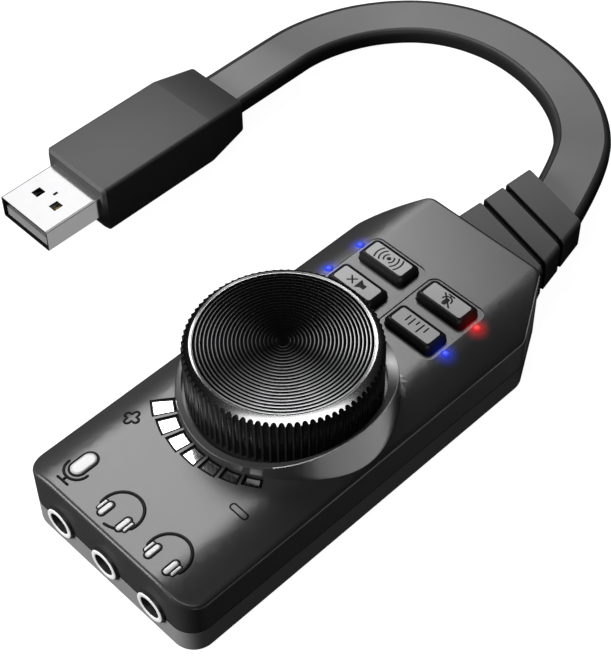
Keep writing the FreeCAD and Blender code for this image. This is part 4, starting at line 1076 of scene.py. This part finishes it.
# Painted shade: the faces turned inwards and the front faces at the mouth take the black.
shell_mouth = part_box("usb_shell")[0].y + 0.0005
shell_middle = middle_of("usb_shell")
for polygon in usb_shell.data.polygons:
    outward = polygon.center - shell_middle
    faces_in = polygon.normal.x * outward.x + polygon.normal.z * outward.z < 0
    if faces_in or (polygon.normal.y < -0.5 and polygon.center.y < shell_mouth):
        polygon.material_index = 1
tongue_grey = make_finish("tongue_grey", (0.130, 0.130, 0.132), (0.160, 0.160, 0.162), (0.36, 0.48))
paint("usb_tongue", tongue_grey)


# Flat cord: a broad grey jacket with rounded edges and a fine line moulded along each edge, its faces
# beyond the lines painted near-black as shade. It leaves the boot level, sags to the table and comes up
# again into the plug.
cord_width = 9.8
cord_thickness = 3.2
cord_edge = 1.0
cord_line_inset = 1.2
cord_line_depth = 0.10
cord_line_width = 0.16
cord_jacket = make_finish("cord_jacket", 0.100, 0.115, (0.42, 0.52), relief=0.000010)
cord_side_painted_shade = make_finish(
    "cord_side_painted_shade", 0.010, 0.014, (0.42, 0.52), relief=0.000010, Specular_IOR_Level=0.3)
cord_route = [
    (1.55, 52.9, 5.95),
    (-3.6, 69.25, 5.2),
    (-12.1, 80.2, 3.1),
    (-24.0, 87.05, 1.65),
    (-37.2, 88.45, 1.65),
    (-49.8, 84.25, 1.65),
    (-58.8, 74.65, 1.65),
    (-62.3, 62.05, 2.7),
    (-60.6, 49.8, 4.7),
    (-60.6, 37.8, 4.7),
]
cord_line = bpy.data.curves.new("cord_line", "CURVE")
cord_line.dimensions = "3D"
cord_line.resolution_u = 24
cord_spline = cord_line.splines.new("NURBS")
cord_spline.points.add(len(cord_route) - 1)
for point, (x, y, z) in zip(cord_spline.points, cord_route):
    point.co = (x / 1000, y / 1000, z / 1000, 1)
cord_spline.order_u = 3
cord_spline.use_endpoint_u = True
cord_guide = bpy.data.objects.new("cord_guide", cord_line)
scene_objects.link(cord_guide)
bpy.context.view_layer.update()
guide_mesh = bpy.data.meshes.new_from_object(cord_guide.evaluated_get(bpy.context.evaluated_depsgraph_get()))
cord_path = [vertex.co.copy() for vertex in guide_mesh.vertices]
bpy.data.meshes.remove(guide_mesh)
bpy.data.objects.remove(cord_guide)

half_cord = cord_width / 2
half_thick = cord_thickness / 2
cord_outline = []
for side, level, start in ((1, 1, 0), (-1, 1, 90), (-1, -1, 180), (1, -1, 270)):
    corner = (side * (half_cord - cord_edge), level * (half_thick - cord_edge))
    cord_outline += arc(corner, cord_edge, start, start + 90, 6)
    if (side, level) in ((1, 1), (-1, -1)):
        for end in (side, -side):
            line_x = end * (half_cord - cord_line_inset)
            for step, depth in ((side, 0), (0, cord_line_depth), (-side, 0)):
                cord_outline.append((line_x + step * cord_line_width / 2, level * (half_thick - depth)))

cord_rows = []
for index, place in enumerate(cord_path):
    before = cord_path[max(index - 1, 0)]
    after = cord_path[min(index + 1, len(cord_path) - 1)]
    along = (after - before).normalized()
    across = along.cross(Vector((0, 0, 1))).normalized()
    upward = across.cross(along)
    cord_rows.append([place + across * (u / 1000) + upward * (v / 1000) for u, v in cord_outline])
# Painted shade: the faces beyond the fine lines take the near-black.
flat_reach = half_cord - cord_line_inset + cord_line_width / 4
cord_form = bmesh.new()
cord_rings = [[cord_form.verts.new(point) for point in row] for row in cord_rows]
for index, face in enumerate(skin(cord_form, cord_rings)):
    corner = index % len(cord_outline)
    other = (corner + 1) % len(cord_outline)
    if max(abs(cord_outline[corner][0]), abs(cord_outline[other][0])) > flat_reach:
        face.material_index = 1
cord_form.faces.new(cord_rings[0])
cord_form.faces.new(reversed(cord_rings[-1]))
bmesh.ops.recalc_face_normals(cord_form, faces=cord_form.faces)
shade(cord_form, 40)
cord_mesh = plain_mesh("flat_cord_jacket", cord_form)
cord = hang("flat_cord_jacket", cord_mesh, [cord_jacket, cord_side_painted_shade], "case")
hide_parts("flat_cord")
